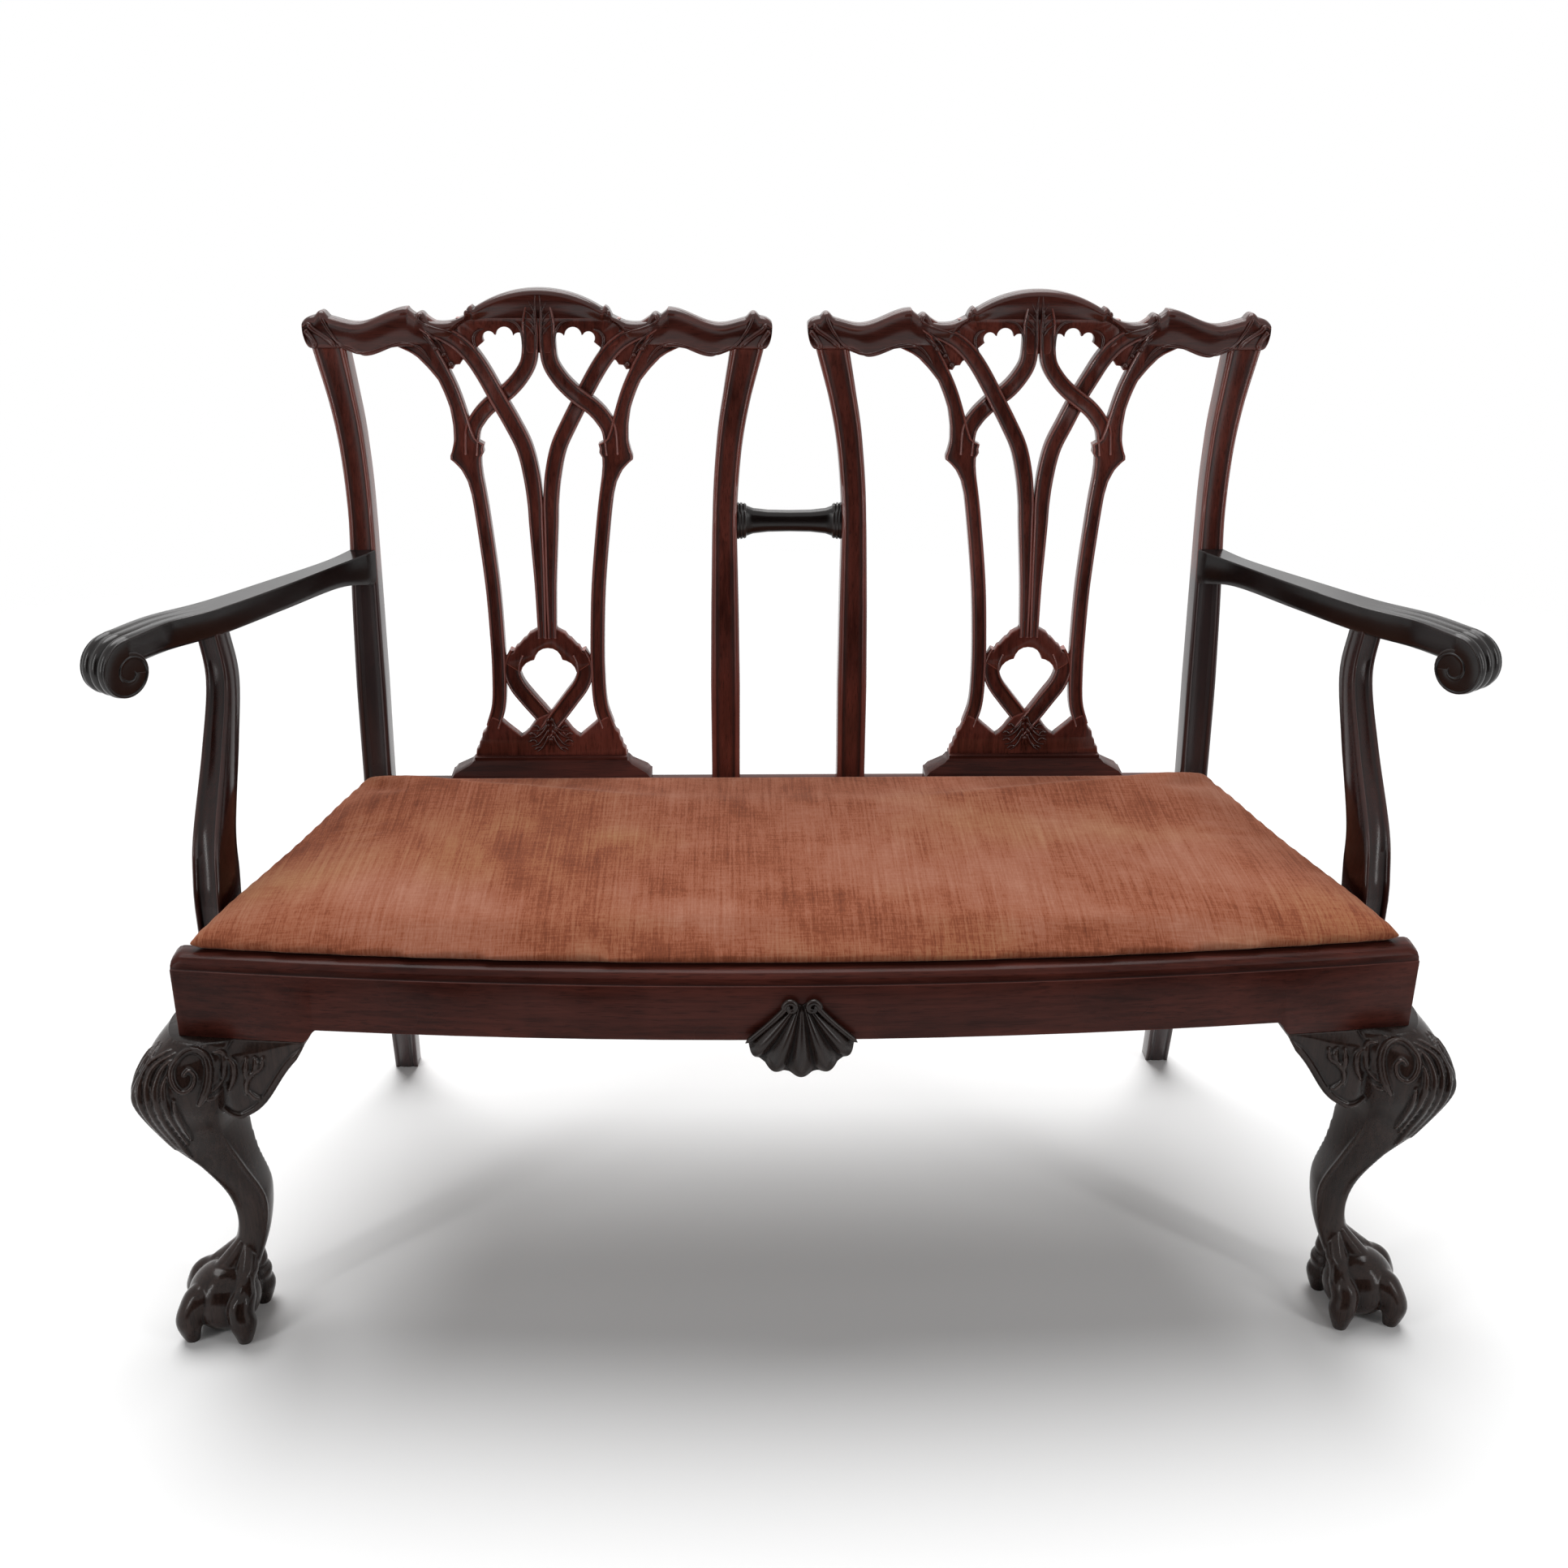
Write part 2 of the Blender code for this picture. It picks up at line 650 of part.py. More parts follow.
def lobe(x, drop, radius, start, end, steps):
    """Part of a circle in the crest's frame, given by its middle and its angles."""
    angles = [math.radians(blend(start, end, i / steps)) for i in range(steps + 1)]
    return [(x + radius * math.cos(a), drop - radius * math.sin(a)) for a in angles]


def outer_strap(side):
    """From the crest's shoulder, past the barb, down to the foot of the splat."""
    path = below_crest((124, 10), (114, 30), (102, 49), (90, 74), (83, 104),
                       (78, 130), (72, 165), (66, 207))
    path += above_shoe((59.5, 200), (55, 140), (54, 97), (57, 60), (66, 34))
    return strap(path, [0.0] * len(path), side)


def long_strap(side, over):
    """From the crest's shoulder to the middle stem and down to the ring."""
    path = below_crest((112, 8), (92, 16), (74, 31), (48, 68), (33, 99),
                       (20, 140), (11, 190))
    path += above_shoe((6.5, 225), (6.2, 148))
    lift = [0.16, 0.16, 0.4, over, 0.4] + [0.16] * (len(path) - 5)
    return strap(path, lift, side)


def short_strap(side, over):
    """From the crest's middle, across the long strap, to the outer strap."""
    path = below_crest((7.2, -4), (7.2, 22), (10.5, 39), (24, 56), (48, 75),
                       (67, 93), (77, 114), (77.5, 140))
    lift = [0.08, 0.08, 0.08, 0.4, over, 0.08, -0.24, -0.4]
    return strap(path, lift, side)


def ring_strap(side, over):
    """From one side of the pierced ring, across the middle and into the foot."""
    path = above_shoe((40, 118), (45, 107), (45.5, 98), (41, 87), (24, 70),
                      (0, 47), (-24, 24))
    lift = [-0.32, -0.32, -0.32, -0.32, -0.16, over, -0.48]
    return strap(path, lift, side)


def ring_head():
    """Head of the pierced ring: stepped lobes outside, an arch between two cusps inside."""
    outer = above_shoe((50, 112), (42, 127), (34, 128), (31, 137), (22, 141),
                       (19, 150), (10.5, 154), (8, 165))
    inner = above_shoe((0, 130.5), (8.5, 129), (15.5, 123.5), (18.5, 115.5), (27, 114.5),
                       (32.5, 107.5), (33, 99))
    half = outer + [(-x, z) for x, z in reversed(outer)]
    arch = [(-x, z) for x, z in reversed(inner[1:])] + inner
    return web(half + arch, 1, WEB_INSET)


def fan_web(side):
    """Fluted corner between the outer and the long strap."""
    return web(below_crest((128, 6), (112, 34), (97, 46), (81, 36), (66, 22),
                           (70, 2)), side, WEB_INSET)


def trefoil_web(side):
    """Scalloped head of the tear-drop opening between the long and the short strap."""
    scallops = lobe(54.5, 14.5, 7, -35, 150, 4) + lobe(37.5, 12.5, 9.5, 5, 175, 5)
    scallops += lobe(22, 15.5, 6.5, 30, 215, 4)
    outline = [(90, -6), (86, 20), (72, 28)] + scallops
    outline += [(12, 30), (-1, 30), (-1, -6)]
    return web(below_crest(*outline), side, WEB_INSET + CLEARANCE / 2)


def barb(side):
    """Pointed leaf that stands out on both sides of the outer strap."""
    return web(below_crest((90, 92), (90.5, 112), (99.5, 134), (84, 154), (70, 170),
                           (64, 150), (62.5, 138), (56, 131), (63.5, 124), (66, 108)),
               side, WEB_INSET - CLEARANCE / 2)


def foot_web():
    """Spreading foot of the splat, with the lower edges of the two small openings."""
    half = above_shoe((86, -4), (86, 13), (79.5, 21), (76.5, 32), (66, 46),
                      (53, 43), (47, 34), (36, 26), (25, 34), (18, 43))
    outline = half + above_shoe((0, 50)) + [(-x, z) for x, z in reversed(half)]
    return web(outline, 1, WEB_INSET - CLEARANCE)


def splat_blank():
    """The board that a splat is sawn from: from the shoe up to the crest's underside."""
    stations = [x for x in crest_stations() if x < SHOULDER_X]
    top = [(x, crest_under(x) - CLEARANCE) for x in [-x for x in reversed(stations[1:])] + stations]
    bottom = SHOE_TOP + CLEARANCE
    outline = [(top[0][0], bottom)] + top + [(top[-1][0], bottom)]
    near, far = 0.0, back_y(POST_TOP) + SEAT_DEPTH
    return loft([[(x, y, z) for x, z in outline] for y in (near, far)])


def splat():
    pieces = []
    for side in (-1, 1):
        pieces.append(outer_strap(side))
        pieces.append(long_strap(side, -side))
        pieces.append(short_strap(side, side))
        pieces.append(ring_strap(side, RING_WEAVE * side))
        pieces += [fan_web(side), trefoil_web(side), barb(side)]
    pieces.append(ring_head())
    solid = foot_web()
    for piece in pieces:
        solid = combined(solid, piece, "UNION", "MANIFOLD")
    solid = combined(solid, splat_blank(), "INTERSECT", "MANIFOLD")
    for tenon in (splat_top_tenon(), splat_foot_tenon()):
        solid = combined(solid, box(*tenon), "UNION", "MANIFOLD")
    return simplified(solid, SPLAT_FACES)


def shoe():
    """Stepped moulding that holds the foot of the splat on the rear rail."""
    bottom = RAIL_TOP + CLEARANCE
    low, high = bottom + SHOE_FOOT, SHOE_TOP - SHOE_FILLET
    steps = [(0, bottom), (0, low)]
    for t in (0, 0.25, 0.5, 0.75, 1):
        slope = blend(SHOE_STEP, 1 - SHOE_STEP, eased(t))
        steps.append((slope, blend(low + SHOE_QUIRK, high - SHOE_QUIRK, t)))
    steps += [(1, high), (1, SHOE_TOP)]
    rings = []
    for slope, z in steps:
        half = blend(SHOE_HALF, SHOE_TOP_HALF, slope)
        near = back_y(z) - blend(SHOE_PROJECTION, SHOE_TOP_PROJECTION, slope)
        far = SEAT_DEPTH + SHOE_THICKNESS
        rings.append([(-half, near, z), (half, near, z), (half, far, z), (-half, far, z)])
    return mortise(loft(rings), splat_foot_tenon())


def link_tenon(side):
    """Corners of the tenon that holds the rail between the chair backs in an inner stile."""
    z = RAIL_TOP + LINK_RISE
    face = BACK_AXIS - stile_x(z) - STILE_WIDTH / 2
    y = back_y(z) + STILE_DEPTH / 2
    half = TENON_THICKNESS / 2
    ends = sorted((side * (face - TENON_LENGTH), side * (face + TENON_LENGTH / 2)))
    return (ends[0], y - half, z - half), (ends[1], y + half, z + half)


def link_rail():
    """Waisted rail between the inner stiles, with a collar at each end."""
    z = RAIL_TOP + LINK_RISE
    end = BACK_AXIS - stile_x(z + LINK_COLLAR) - STILE_WIDTH / 2 - CLEARANCE
    y = back_y(z) + STILE_DEPTH / 2
    collar = end - LINK_COLLAR_WIDTH
    half = [(0, 0.0), (collar * 0.5, 0.06), (collar * 0.85, 0.3), (collar, 0.45), (collar, 1.0), (end, 0.9)]
    stations = [(-x, t) for x, t in reversed(half[1:])] + half
    rings = []
    for x, swell in stations:
        tall = blend(LINK_HALF_HEIGHT, LINK_COLLAR, swell)
        deep = LINK_HALF_DEPTH * (1 + 0.25 * swell)
        corners = [(-1, -0.7), (-0.7, -1), (0.7, -1), (1, -0.7), (1, 0.7), (0.7, 1), (-0.7, 1), (-1, 0.7)]
        rings.append([(x, y + deep * a, z + tall * b) for a, b in corners])
    return join(loft(rings), box(*link_tenon(-1)), box(*link_tenon(1)))


# Seat frame

def bow_stations():
    """Places along the front rail where its section is drawn, closer at the brackets and the ends."""
    tip = BRACKET_TIP
    marks = [0, tip - EDGE_MOULDING, tip, FRONT_HALF_WIDTH - EDGE_MOULDING, FRONT_HALF_WIDTH]
    steps = [7, 3, 2, 3]
    half = [blend(a, b, i / n) for a, b, n in zip(marks, marks[1:], steps) for i in range(n)] + [marks[-1]]
    return [-x for x in reversed(half[1:])] + half


def rounded_edge(distance):
    """How much lower the top edge is at a distance from the outer face."""
    inside = max(EDGE_MOULDING - distance, 0.0)
    return EDGE_MOULDING - math.sqrt(max(EDGE_MOULDING ** 2 - inside ** 2, 0.0))


def front_rail():
    rings = []
    for x in bow_stations():
        near = front_y(x)
        to_tip = (BRACKET_TIP - abs(x)) / EDGE_MOULDING
        low = RAIL_BOTTOM + RAIL_RISE * eased(to_tip)
        top = RAIL_TOP - rounded_edge(FRONT_HALF_WIDTH - abs(x) + EDGE_QUIRK)
        spring = RAIL_TOP - EDGE_MOULDING
        ring = [(near, low), (near, spring), (near + EDGE_QUIRK, spring)]
        for turn in (30, 60, 90):
            a = math.radians(turn)
            depth = near + EDGE_QUIRK + EDGE_MOULDING * (1 - math.cos(a))
            ring.append((depth, spring + (top - spring) * math.sin(a)))
        ring += [(near + FRONT_LIP, top), (near + FRONT_LIP, LEDGE), (near + FRONT_RAIL_THICKNESS, LEDGE),
                 (near + FRONT_RAIL_THICKNESS, low)]
        rings.append([(x, y, z) for y, z in ring])
    solid = loft(rings)
    for side in (-1, 1):
        solid = mortise(mortise(solid, leg_tenon(side)), side_front_tenon(side))
    return solid


def leg_tenon(side):
    """Corners of the tenon that holds a front leg under the front rail."""
    place = leg_place(side)
    middle = leg_point(side, (LEG_CORNER + LEG_HEEL) / 2, 0, 0)
    x, y = place[0] + middle[0], place[1] + middle[1]
    half = LEG_TENON_HALF
    return ((x - half, y - half, RAIL_BOTTOM - LEG_TENON_LENGTH),
            (x + half, y + half, RAIL_BOTTOM + LEG_TENON_LENGTH))


def side_front_y(inward):
    """Where a side rail meets the back of the front rail, at a distance in from its outer face."""
    y = FRONT_RAIL_THICKNESS
    for step in range(6):
        y = front_y(side_x(y) - inward) + FRONT_RAIL_THICKNESS + CLEARANCE
    return y


def side_back_y():
    """Rear end of a side rail, against the front of the post."""
    return min(back_y(RAIL_BOTTOM), back_y(LEDGE), back_y(RAIL_TOP)) - CLEARANCE


def tenon_levels():
    middle = (RAIL_BOTTOM + LEDGE) / 2
    return middle - RAIL_TENON_HEIGHT / 2, middle + RAIL_TENON_HEIGHT / 2


def side_front_tenon(side):
    """Corners of the tenon of a side rail in the front rail."""
    inward = SIDE_RAIL_THICKNESS / 3
    y = side_front_y(inward)
    x = side * (side_x(y) - inward)
    low, high = tenon_levels()
    half = TENON_THICKNESS / 2
    return (x - half, y - TENON_LENGTH, low), (x + half, y + TENON_LENGTH, high)


def side_back_tenon(side):
    """Corners of the tenon of a side rail in the post."""
    x = side * (POST_OUTER - STILE_WIDTH / 2)
    y = side_back_y()
    low, high = tenon_levels()
    half = TENON_THICKNESS / 2
    return (x - half, y - TENON_LENGTH, low), (x + half, y + TENON_LENGTH, high)


def side_rail(side):
    """Rail with a rebate for the seat and a rounded outer top edge."""
    section = side_section()
    front = [(inward, side_front_y(inward), z) for inward, z in section]
    back = [(inward, side_back_y(), z) for inward, z in section]
    rings = [[(side * (side_x(y) - inward), y, z) for inward, y, z in end] for end in (front, back)]
    solid = join(loft(rings), box(*side_front_tenon(side)), box(*side_back_tenon(side)))
    screws = support_screws(side) + [block_screw(side, end) for end in (-1, 1)]
    return cut(solid, *(screw_hole(*each) for each in screws))


def side_section():
    """Outline of a side rail, as distances in from its outer face and heights."""
    spring = RAIL_TOP - SIDE_LIP / 2
    edge = [(SIDE_LIP / 2 * (1 - math.cos(a)), spring + SIDE_LIP / 2 * math.sin(a))
            for a in (math.radians(t) for t in (0, 45, 90))]
    return [(0, RAIL_BOTTOM)] + edge + [(SIDE_LIP, RAIL_TOP), (SIDE_LIP, LEDGE),
                                        (SIDE_RAIL_THICKNESS, LEDGE), (SIDE_RAIL_THICKNESS, RAIL_BOTTOM)]


def rear_rail_tenon(side):
    """Corners of the tenon of the rear rail in a post."""
    y = SEAT_DEPTH + REAR_RAIL_THICKNESS / 2
    low, high = tenon_levels()
    half = TENON_THICKNESS / 2
    ends = sorted((side * (POST_INNER - TENON_LENGTH), side * (POST_INNER + TENON_LENGTH / 2)))
    return (ends[0], y - half, low), (ends[1], y + half, high)


def rear_rail():
    """Rail between the posts that carries the inner stiles and the shoes."""
    end = POST_INNER - CLEARANCE
    far = SEAT_DEPTH + REAR_RAIL_THICKNESS
    solid = box((-end, SEAT_DEPTH, RAIL_BOTTOM), (end, far, RAIL_TOP))
    for side in (-1, 1):
        solid = join(solid, box(*rear_rail_tenon(side)))
        solid = mortise(solid, moved(stile_foot_tenon(-side), side * BACK_AXIS))
    return solid


def rear_ledge():
    """Cleat on the rear rail under the back edge of the drop-in seat."""
    far = SEAT_DEPTH - CLEARANCE
    near = far - REAR_LEDGE_WIDTH
    half = min(side_x(SEAT_DEPTH) - SIDE_RAIL_THICKNESS, POST_INNER) - CLEARANCE
    return box((-half, near, LEDGE - REAR_LEDGE_HEIGHT), (half, far, LEDGE))


# Corner blocks and screws

def block_levels():
    top = LEDGE - BLOCK_UNDER_LEDGE
    return top - BLOCK_HEIGHT, top


def block_corners(side, end):
    """Plan of a corner block: in the corner, along the cross rail and along the side rail."""
    if end < 0:
        near = side_front_y(SIDE_RAIL_THICKNESS)
        corner = (side_x(near) - SIDE_RAIL_THICKNESS - CLEARANCE, near)
        reach = corner[0] - BLOCK_LEG
        across = (reach, front_y(reach) + FRONT_RAIL_THICKNESS + CLEARANCE)
        depth = near + BLOCK_LEG
    else:
        far = SEAT_DEPTH - CLEARANCE
        corner = (min(side_x(far) - SIDE_RAIL_THICKNESS, POST_INNER) - CLEARANCE, far)
        across = (corner[0] - BLOCK_LEG, far)
        depth = far - BLOCK_LEG
    along = (side_x(depth) - SIDE_RAIL_THICKNESS - CLEARANCE, depth)
    return [(side * x, y) for x, y in (corner, across, along)]


def block_screw(side, end):
    """Start, direction and length of a screw through a corner block into the side rail."""
    corner, across, along = block_corners(side, end)
    low, high = block_levels()
    y = blend(corner[1], along[1], BLOCK_SCREW_PLACE)
    start = blend(across[0], along[0], BLOCK_SCREW_PLACE) + side * SCREW_COUNTERBORE
    rail = side * (side_x(y) - SIDE_RAIL_THICKNESS)
    return (start, y, (low + high) / 2), (side, 0, 0), abs(rail - start) + SCREW_SINK


def screw(start, direction, length):
    """A countersunk screw with its head against the wood at its start."""
    head = Vector(start) - Vector(direction) * SCREW_HEAD_HEIGHT
    shank = rod(start, direction, length - CLEARANCE, SCREW_RADIUS)
    return join(rod(head, direction, SCREW_HEAD_HEIGHT + CLEARANCE, SCREW_HEAD_RADIUS), shank)


def screw_hole(start, direction, length):
    """Room for a screw and for the driver behind its head."""
    back = SCREW_HEAD_HEIGHT + SCREW_ACCESS
    head = Vector(start) - Vector(direction) * back
    recess = rod(head, direction, back + 2 * CLEARANCE, SCREW_HEAD_RADIUS + CLEARANCE)
    shank = rod(start, direction, length + CLEARANCE, SCREW_RADIUS + CLEARANCE)
    return join(recess, shank)


# Arms

def arm_frame():
    """Heading of the scroll, the level direction across it and its middle, for the right arm."""
    turn = math.radians(SCROLL_HEADING)
    heading = np.array((math.sin(turn), -math.cos(turn), 0))
    across = np.array((math.cos(turn), math.sin(turn), 0))
    middle = np.array((SCROLL_X, SCROLL_Y, ARM_TOP - SCROLL_DROP))
    return heading, across, middle


def arm_line():
    """Middle of the arm's top from the post to the scroll, with its width and thickness."""
    heading, across, scroll = arm_frame()
    post = np.array((POST_OUTER - STILE_WIDTH / 2, back_y(ARM_TOP) - CLEARANCE))
    elbow = np.array((ELBOW_X, ELBOW_Y))
    end = scroll[:2]
    run = end - elbow
    outward = np.array((-run[1], run[0])) / np.linalg.norm(run)
    wrist = blend(elbow, end, 0.5) + outward * WRIST_BOW
    low, top = ARM_TOP - ARM_DIP, scroll[2] + SCROLL_RADIUS
    neck, rest = blend(post, elbow, 0.22), blend(post, elbow, 0.6)
    stations = [(*post, ARM_TOP, STILE_WIDTH, ARM_HEIGHT),
                (*neck, blend(ARM_TOP, low, 0.6), ARM_WIDTH, ARM_THICKNESS),
                (*rest, blend(ARM_TOP, low, 0.95), blend(ARM_WIDTH, ELBOW_WIDTH, 0.6), ARM_THICKNESS),
                (*elbow, low, ELBOW_WIDTH, ARM_THICKNESS),
                (*wrist, blend(low, top, 0.4), blend(ELBOW_WIDTH, SCROLL_WIDTH, 0.7), ARM_THICKNESS),
                (*end, top, SCROLL_WIDTH, ARM_THICKNESS)]
    return through(stations, 3)


def arm_ring(side, here, ahead):
    """Section of the arm: a flat top with rounded edges over a narrower underside."""
    x, y, top, width, tall = here
    length = math.hypot(ahead[0], ahead[1])
    across = (-ahead[1] / length, ahead[0] / length)
    half = width / 2
    section = [(-0.8, -1), (0.8, -1), (1, -0.8), (1, -0.25), (0.8, 0), (-0.8, 0), (-1, -0.25), (-1, -0.8)]
    return [(side * (x + across[0] * a * half), y + across[1] * a * half, top + b * tall) for a, b in section]


def scroll(side):
    """Knuckle at the end of an arm: a spiral outline, as wide as the arm."""
    heading, across, middle = arm_frame()
    outline = []
    steps = 16
    for i in range(steps + 1):
        turn = math.radians(blend(SCROLL_START, SCROLL_END, i / steps))
        radius = blend(SCROLL_RADIUS, SCROLL_END_RADIUS, eased(i / steps))
        outline.append((radius * math.cos(turn), radius * math.sin(turn)))
    rings = []
    for share, inset in ((-0.5, 0.92), (-0.42, 1), (0.42, 1), (0.5, 0.92)):
        ring = []
        for forward, up in outline:
            point = middle + heading * forward * inset + across * SCROLL_WIDTH * share
            ring.append((side * point[0], point[1], middle[2] + up * inset))
        rings.append(ring)
    return loft(rings)


def arm(side):
    line = arm_line()
    rings = []
    for i, here in enumerate(line):
        ahead = line[min(i + 1, len(line) - 1)] - line[max(i - 1, 0)]
        rings.append(arm_ring(side, here, ahead))
    square_on = arm_ring(side, line[0], (0, -1))
    rings[0] = [(x, back_y(z) - CLEARANCE, z) for x, y, z in square_on]
    solid = join(loft(rings), scroll(side))
    solid = mortise(solid, support_tenon(side))
    return cut(solid, screw_hole(*arm_screw(side)))


def arm_screw(side):
    """Start, direction and length of the screw through the post into the arm."""
    z = ARM_TOP - ARM_HEIGHT / 2
    x = side * (POST_OUTER - STILE_WIDTH / 2 + ARM_SCREW_OUT)
    y = back_y(z) + STILE_DEPTH / 2
    return (x, y, z), (0, -1, 0), STILE_DEPTH / 2 + ARM_SCREW_SINK


def elbow_under():
    """Underside of the arm at the elbow."""
    return ARM_TOP - ARM_DIP - ARM_THICKNESS


def support_tenon(side):
    """Corners of the tenon that holds the arm on its support."""
    x = side * ELBOW_X
    half = SUPPORT_TENON_HALF
    z = elbow_under()
    return ((x - half, ELBOW_Y - half, z - TENON_LENGTH),
            (x + half, ELBOW_Y + half, z + TENON_LENGTH / 2))


def rail_direction():
    """Along and out of the right side rail's outer face, in plan."""
    run = np.array((POST_OUTER - FRONT_HALF_WIDTH, SEAT_DEPTH))
    along = run / math.hypot(*run)
    return along, np.array((along[1], -along[0]))


def support_line():
    """Middle, half thickness and half depth of an arm support, from its foot up to the arm."""
    along, out = rail_direction()
    foot = np.array((side_x(SUPPORT_Y), SUPPORT_Y)) + out * (SUPPORT_HALF_THICKNESS + CLEARANCE)
    top = elbow_under() - CLEARANCE
    low = RAIL_BOTTOM + SUPPORT_FOOT_RISE
    bends = [(0, 0, 0, 1), (0.1, 0.05, 0.05, 1), (0.27, 0.2, 0.19, 0.75), (0.55, 0.33, 0.63, 0.35),
             (0.79, 0.5, 0.95, 0.1), (1, 1, 1, 0)]
    points = []
    for rise, outward, back, size in bends:
        middle = (blend(foot[0], ELBOW_X, outward), blend(foot[1], ELBOW_Y, back), blend(RAIL_TOP, top, rise))
        thick = blend(SUPPORT_TOP_HALF_THICKNESS, SUPPORT_HALF_THICKNESS, size)
        deep = blend(SUPPORT_TOP_HALF_DEPTH, SUPPORT_HALF_DEPTH, size)
        points.append((*middle, thick, deep))
    return [(*foot, low, SUPPORT_HALF_THICKNESS, SUPPORT_HALF_DEPTH)] + through(points, 2)


def arm_support(side):
    along, out = rail_direction()
    rings = []
    front = [(-1, -0.7), (-0.75, -1), (0, -0.85), (0.75, -1), (1, -0.7)]
    section = front + [(1, 0.85), (0.8, 1), (-0.8, 1), (-1, 0.85)]
    for x, y, z, thick, depth in support_line():
        ring = []
        for a, b in section:
            point = np.array((x, y)) + out * a * thick + along * b * depth
            ring.append((side * point[0], point[1], z))
        rings.append(ring)
    solid = join(loft(rings), box(*support_tenon(side)))
    return cut(solid, *(screw_hole(*each) for each in support_screws(side)))


def support_screws(side):
    """The two screws from inside the side rail into an arm support."""
    along, out = rail_direction()
    inner = np.array((side_x(SUPPORT_Y), SUPPORT_Y)) - out * (SIDE_RAIL_THICKNESS - SCREW_COUNTERBORE)
    screws = []
    for share in (0.35, 0.75):
        z = blend(RAIL_BOTTOM + SUPPORT_FOOT_RISE, LEDGE, share)
        length = SIDE_RAIL_THICKNESS - SCREW_COUNTERBORE + SCREW_SINK
        screws.append(((side * inner[0], inner[1], z), (side * out[0], out[1], 0), length))
    return screws


# Front legs, in the frame of one leg: its origin is on the floor under the leg's axis

def leg_place(side):
    return side * (FRONT_HALF_WIDTH - LEG_INSET_X), LEG_INSET_Y, 0


def leg_point(side, out, across, z):
    """A point given by its distance out along the corner's diagonal and across that."""
    root = math.sqrt(0.5)
    return side * (out + across) * root, (across - out) * root, z


def leg_lines():
    """Front and back outlines and half width of a leg, from the rail down into the ball."""
    top = RAIL_BOTTOM - CLEARANCE
    knee = top - KNEE_DROP
    calf, shin = blend(knee, ANKLE_HEIGHT, 0.36), blend(knee, ANKLE_HEIGHT, 0.68)
    heel = blend(ANKLE_HEIGHT, FOOT_BASE, 0.5)
    front = through([(top, LEG_CORNER), (blend(top, knee, 0.35), blend(LEG_CORNER, KNEE_REACH, 0.66)),
                     (knee, KNEE_REACH), (calf, blend(KNEE_REACH, ANKLE_FRONT, 0.30)),
                     (shin, blend(KNEE_REACH, ANKLE_FRONT, 0.78)), (ANKLE_HEIGHT, ANKLE_FRONT),
                     (heel, blend(ANKLE_FRONT, BALL_REACH, 0.15)),
                     (FOOT_BASE, blend(ANKLE_FRONT, BALL_REACH, 0.6))], 2)
    back = through([(top, LEG_HEEL), (knee, LEG_HEEL), (shin, blend(LEG_HEEL, ANKLE_BACK, 0.35)),
                    (ANKLE_HEIGHT, ANKLE_BACK), (heel, blend(ANKLE_BACK, BALL_REACH - BALL_RADIUS, 0.25)),
                    (FOOT_BASE, BALL_REACH - BALL_RADIUS)], 3)
    half = through([(top, KNEE_HALF), (knee, KNEE_HALF), (calf, blend(KNEE_HALF, ANKLE_HALF, 0.4)),
                    (shin, blend(KNEE_HALF, ANKLE_HALF, 0.85)), (ANKLE_HEIGHT, ANKLE_HALF),
                    (FOOT_BASE, ANKLE_HALF)], 3)
    return front, back, half


def leg_ring(side, z, front, back, half, square):
    """Section of a leg: a rounded square, set on its corner, that turns round at the ankle."""
    middle, reach = (front + back) / 2, (front - back) / 2
    power = blend(1.0, 1.45, square)
    ring = []
    for i in range(12):
        turn = 2 * math.pi * i / 12
        c, s = math.cos(turn), math.sin(turn)
        out = middle + reach * math.copysign(abs(c) ** power, c)
        across = half * math.copysign(abs(s) ** power, s)
        ring.append(leg_point(side, out, across, z))
    return ring


def leg_shaft(side):
    """The cabriole curve from the rail to inside the ball."""
    front, back, half = leg_lines()
    top = front[0][0]
    levels = [z for z, value in front] + [blend(FOOT_BASE, BALL_RADIUS, 0.8)]
    rings = []
    for z in levels:
        square = eased((z - ANKLE_HEIGHT) / (top - KNEE_DROP - ANKLE_HEIGHT))
        rings.append(leg_ring(side, z, height_on(front, z), height_on(back, z), height_on(half, z), square))
    return loft(rings)


def ball_middle():
    return BALL_REACH, BALL_RADIUS - BALL_SINK


def ball(side):
    bm = bmesh.new()
    out, z = ball_middle()
    bmesh.ops.create_uvsphere(bm, u_segments=14, v_segments=9, radius=BALL_RADIUS,
                              matrix=Matrix.Translation(leg_point(side, out, 0, z)))
    return mesh_of(bm)


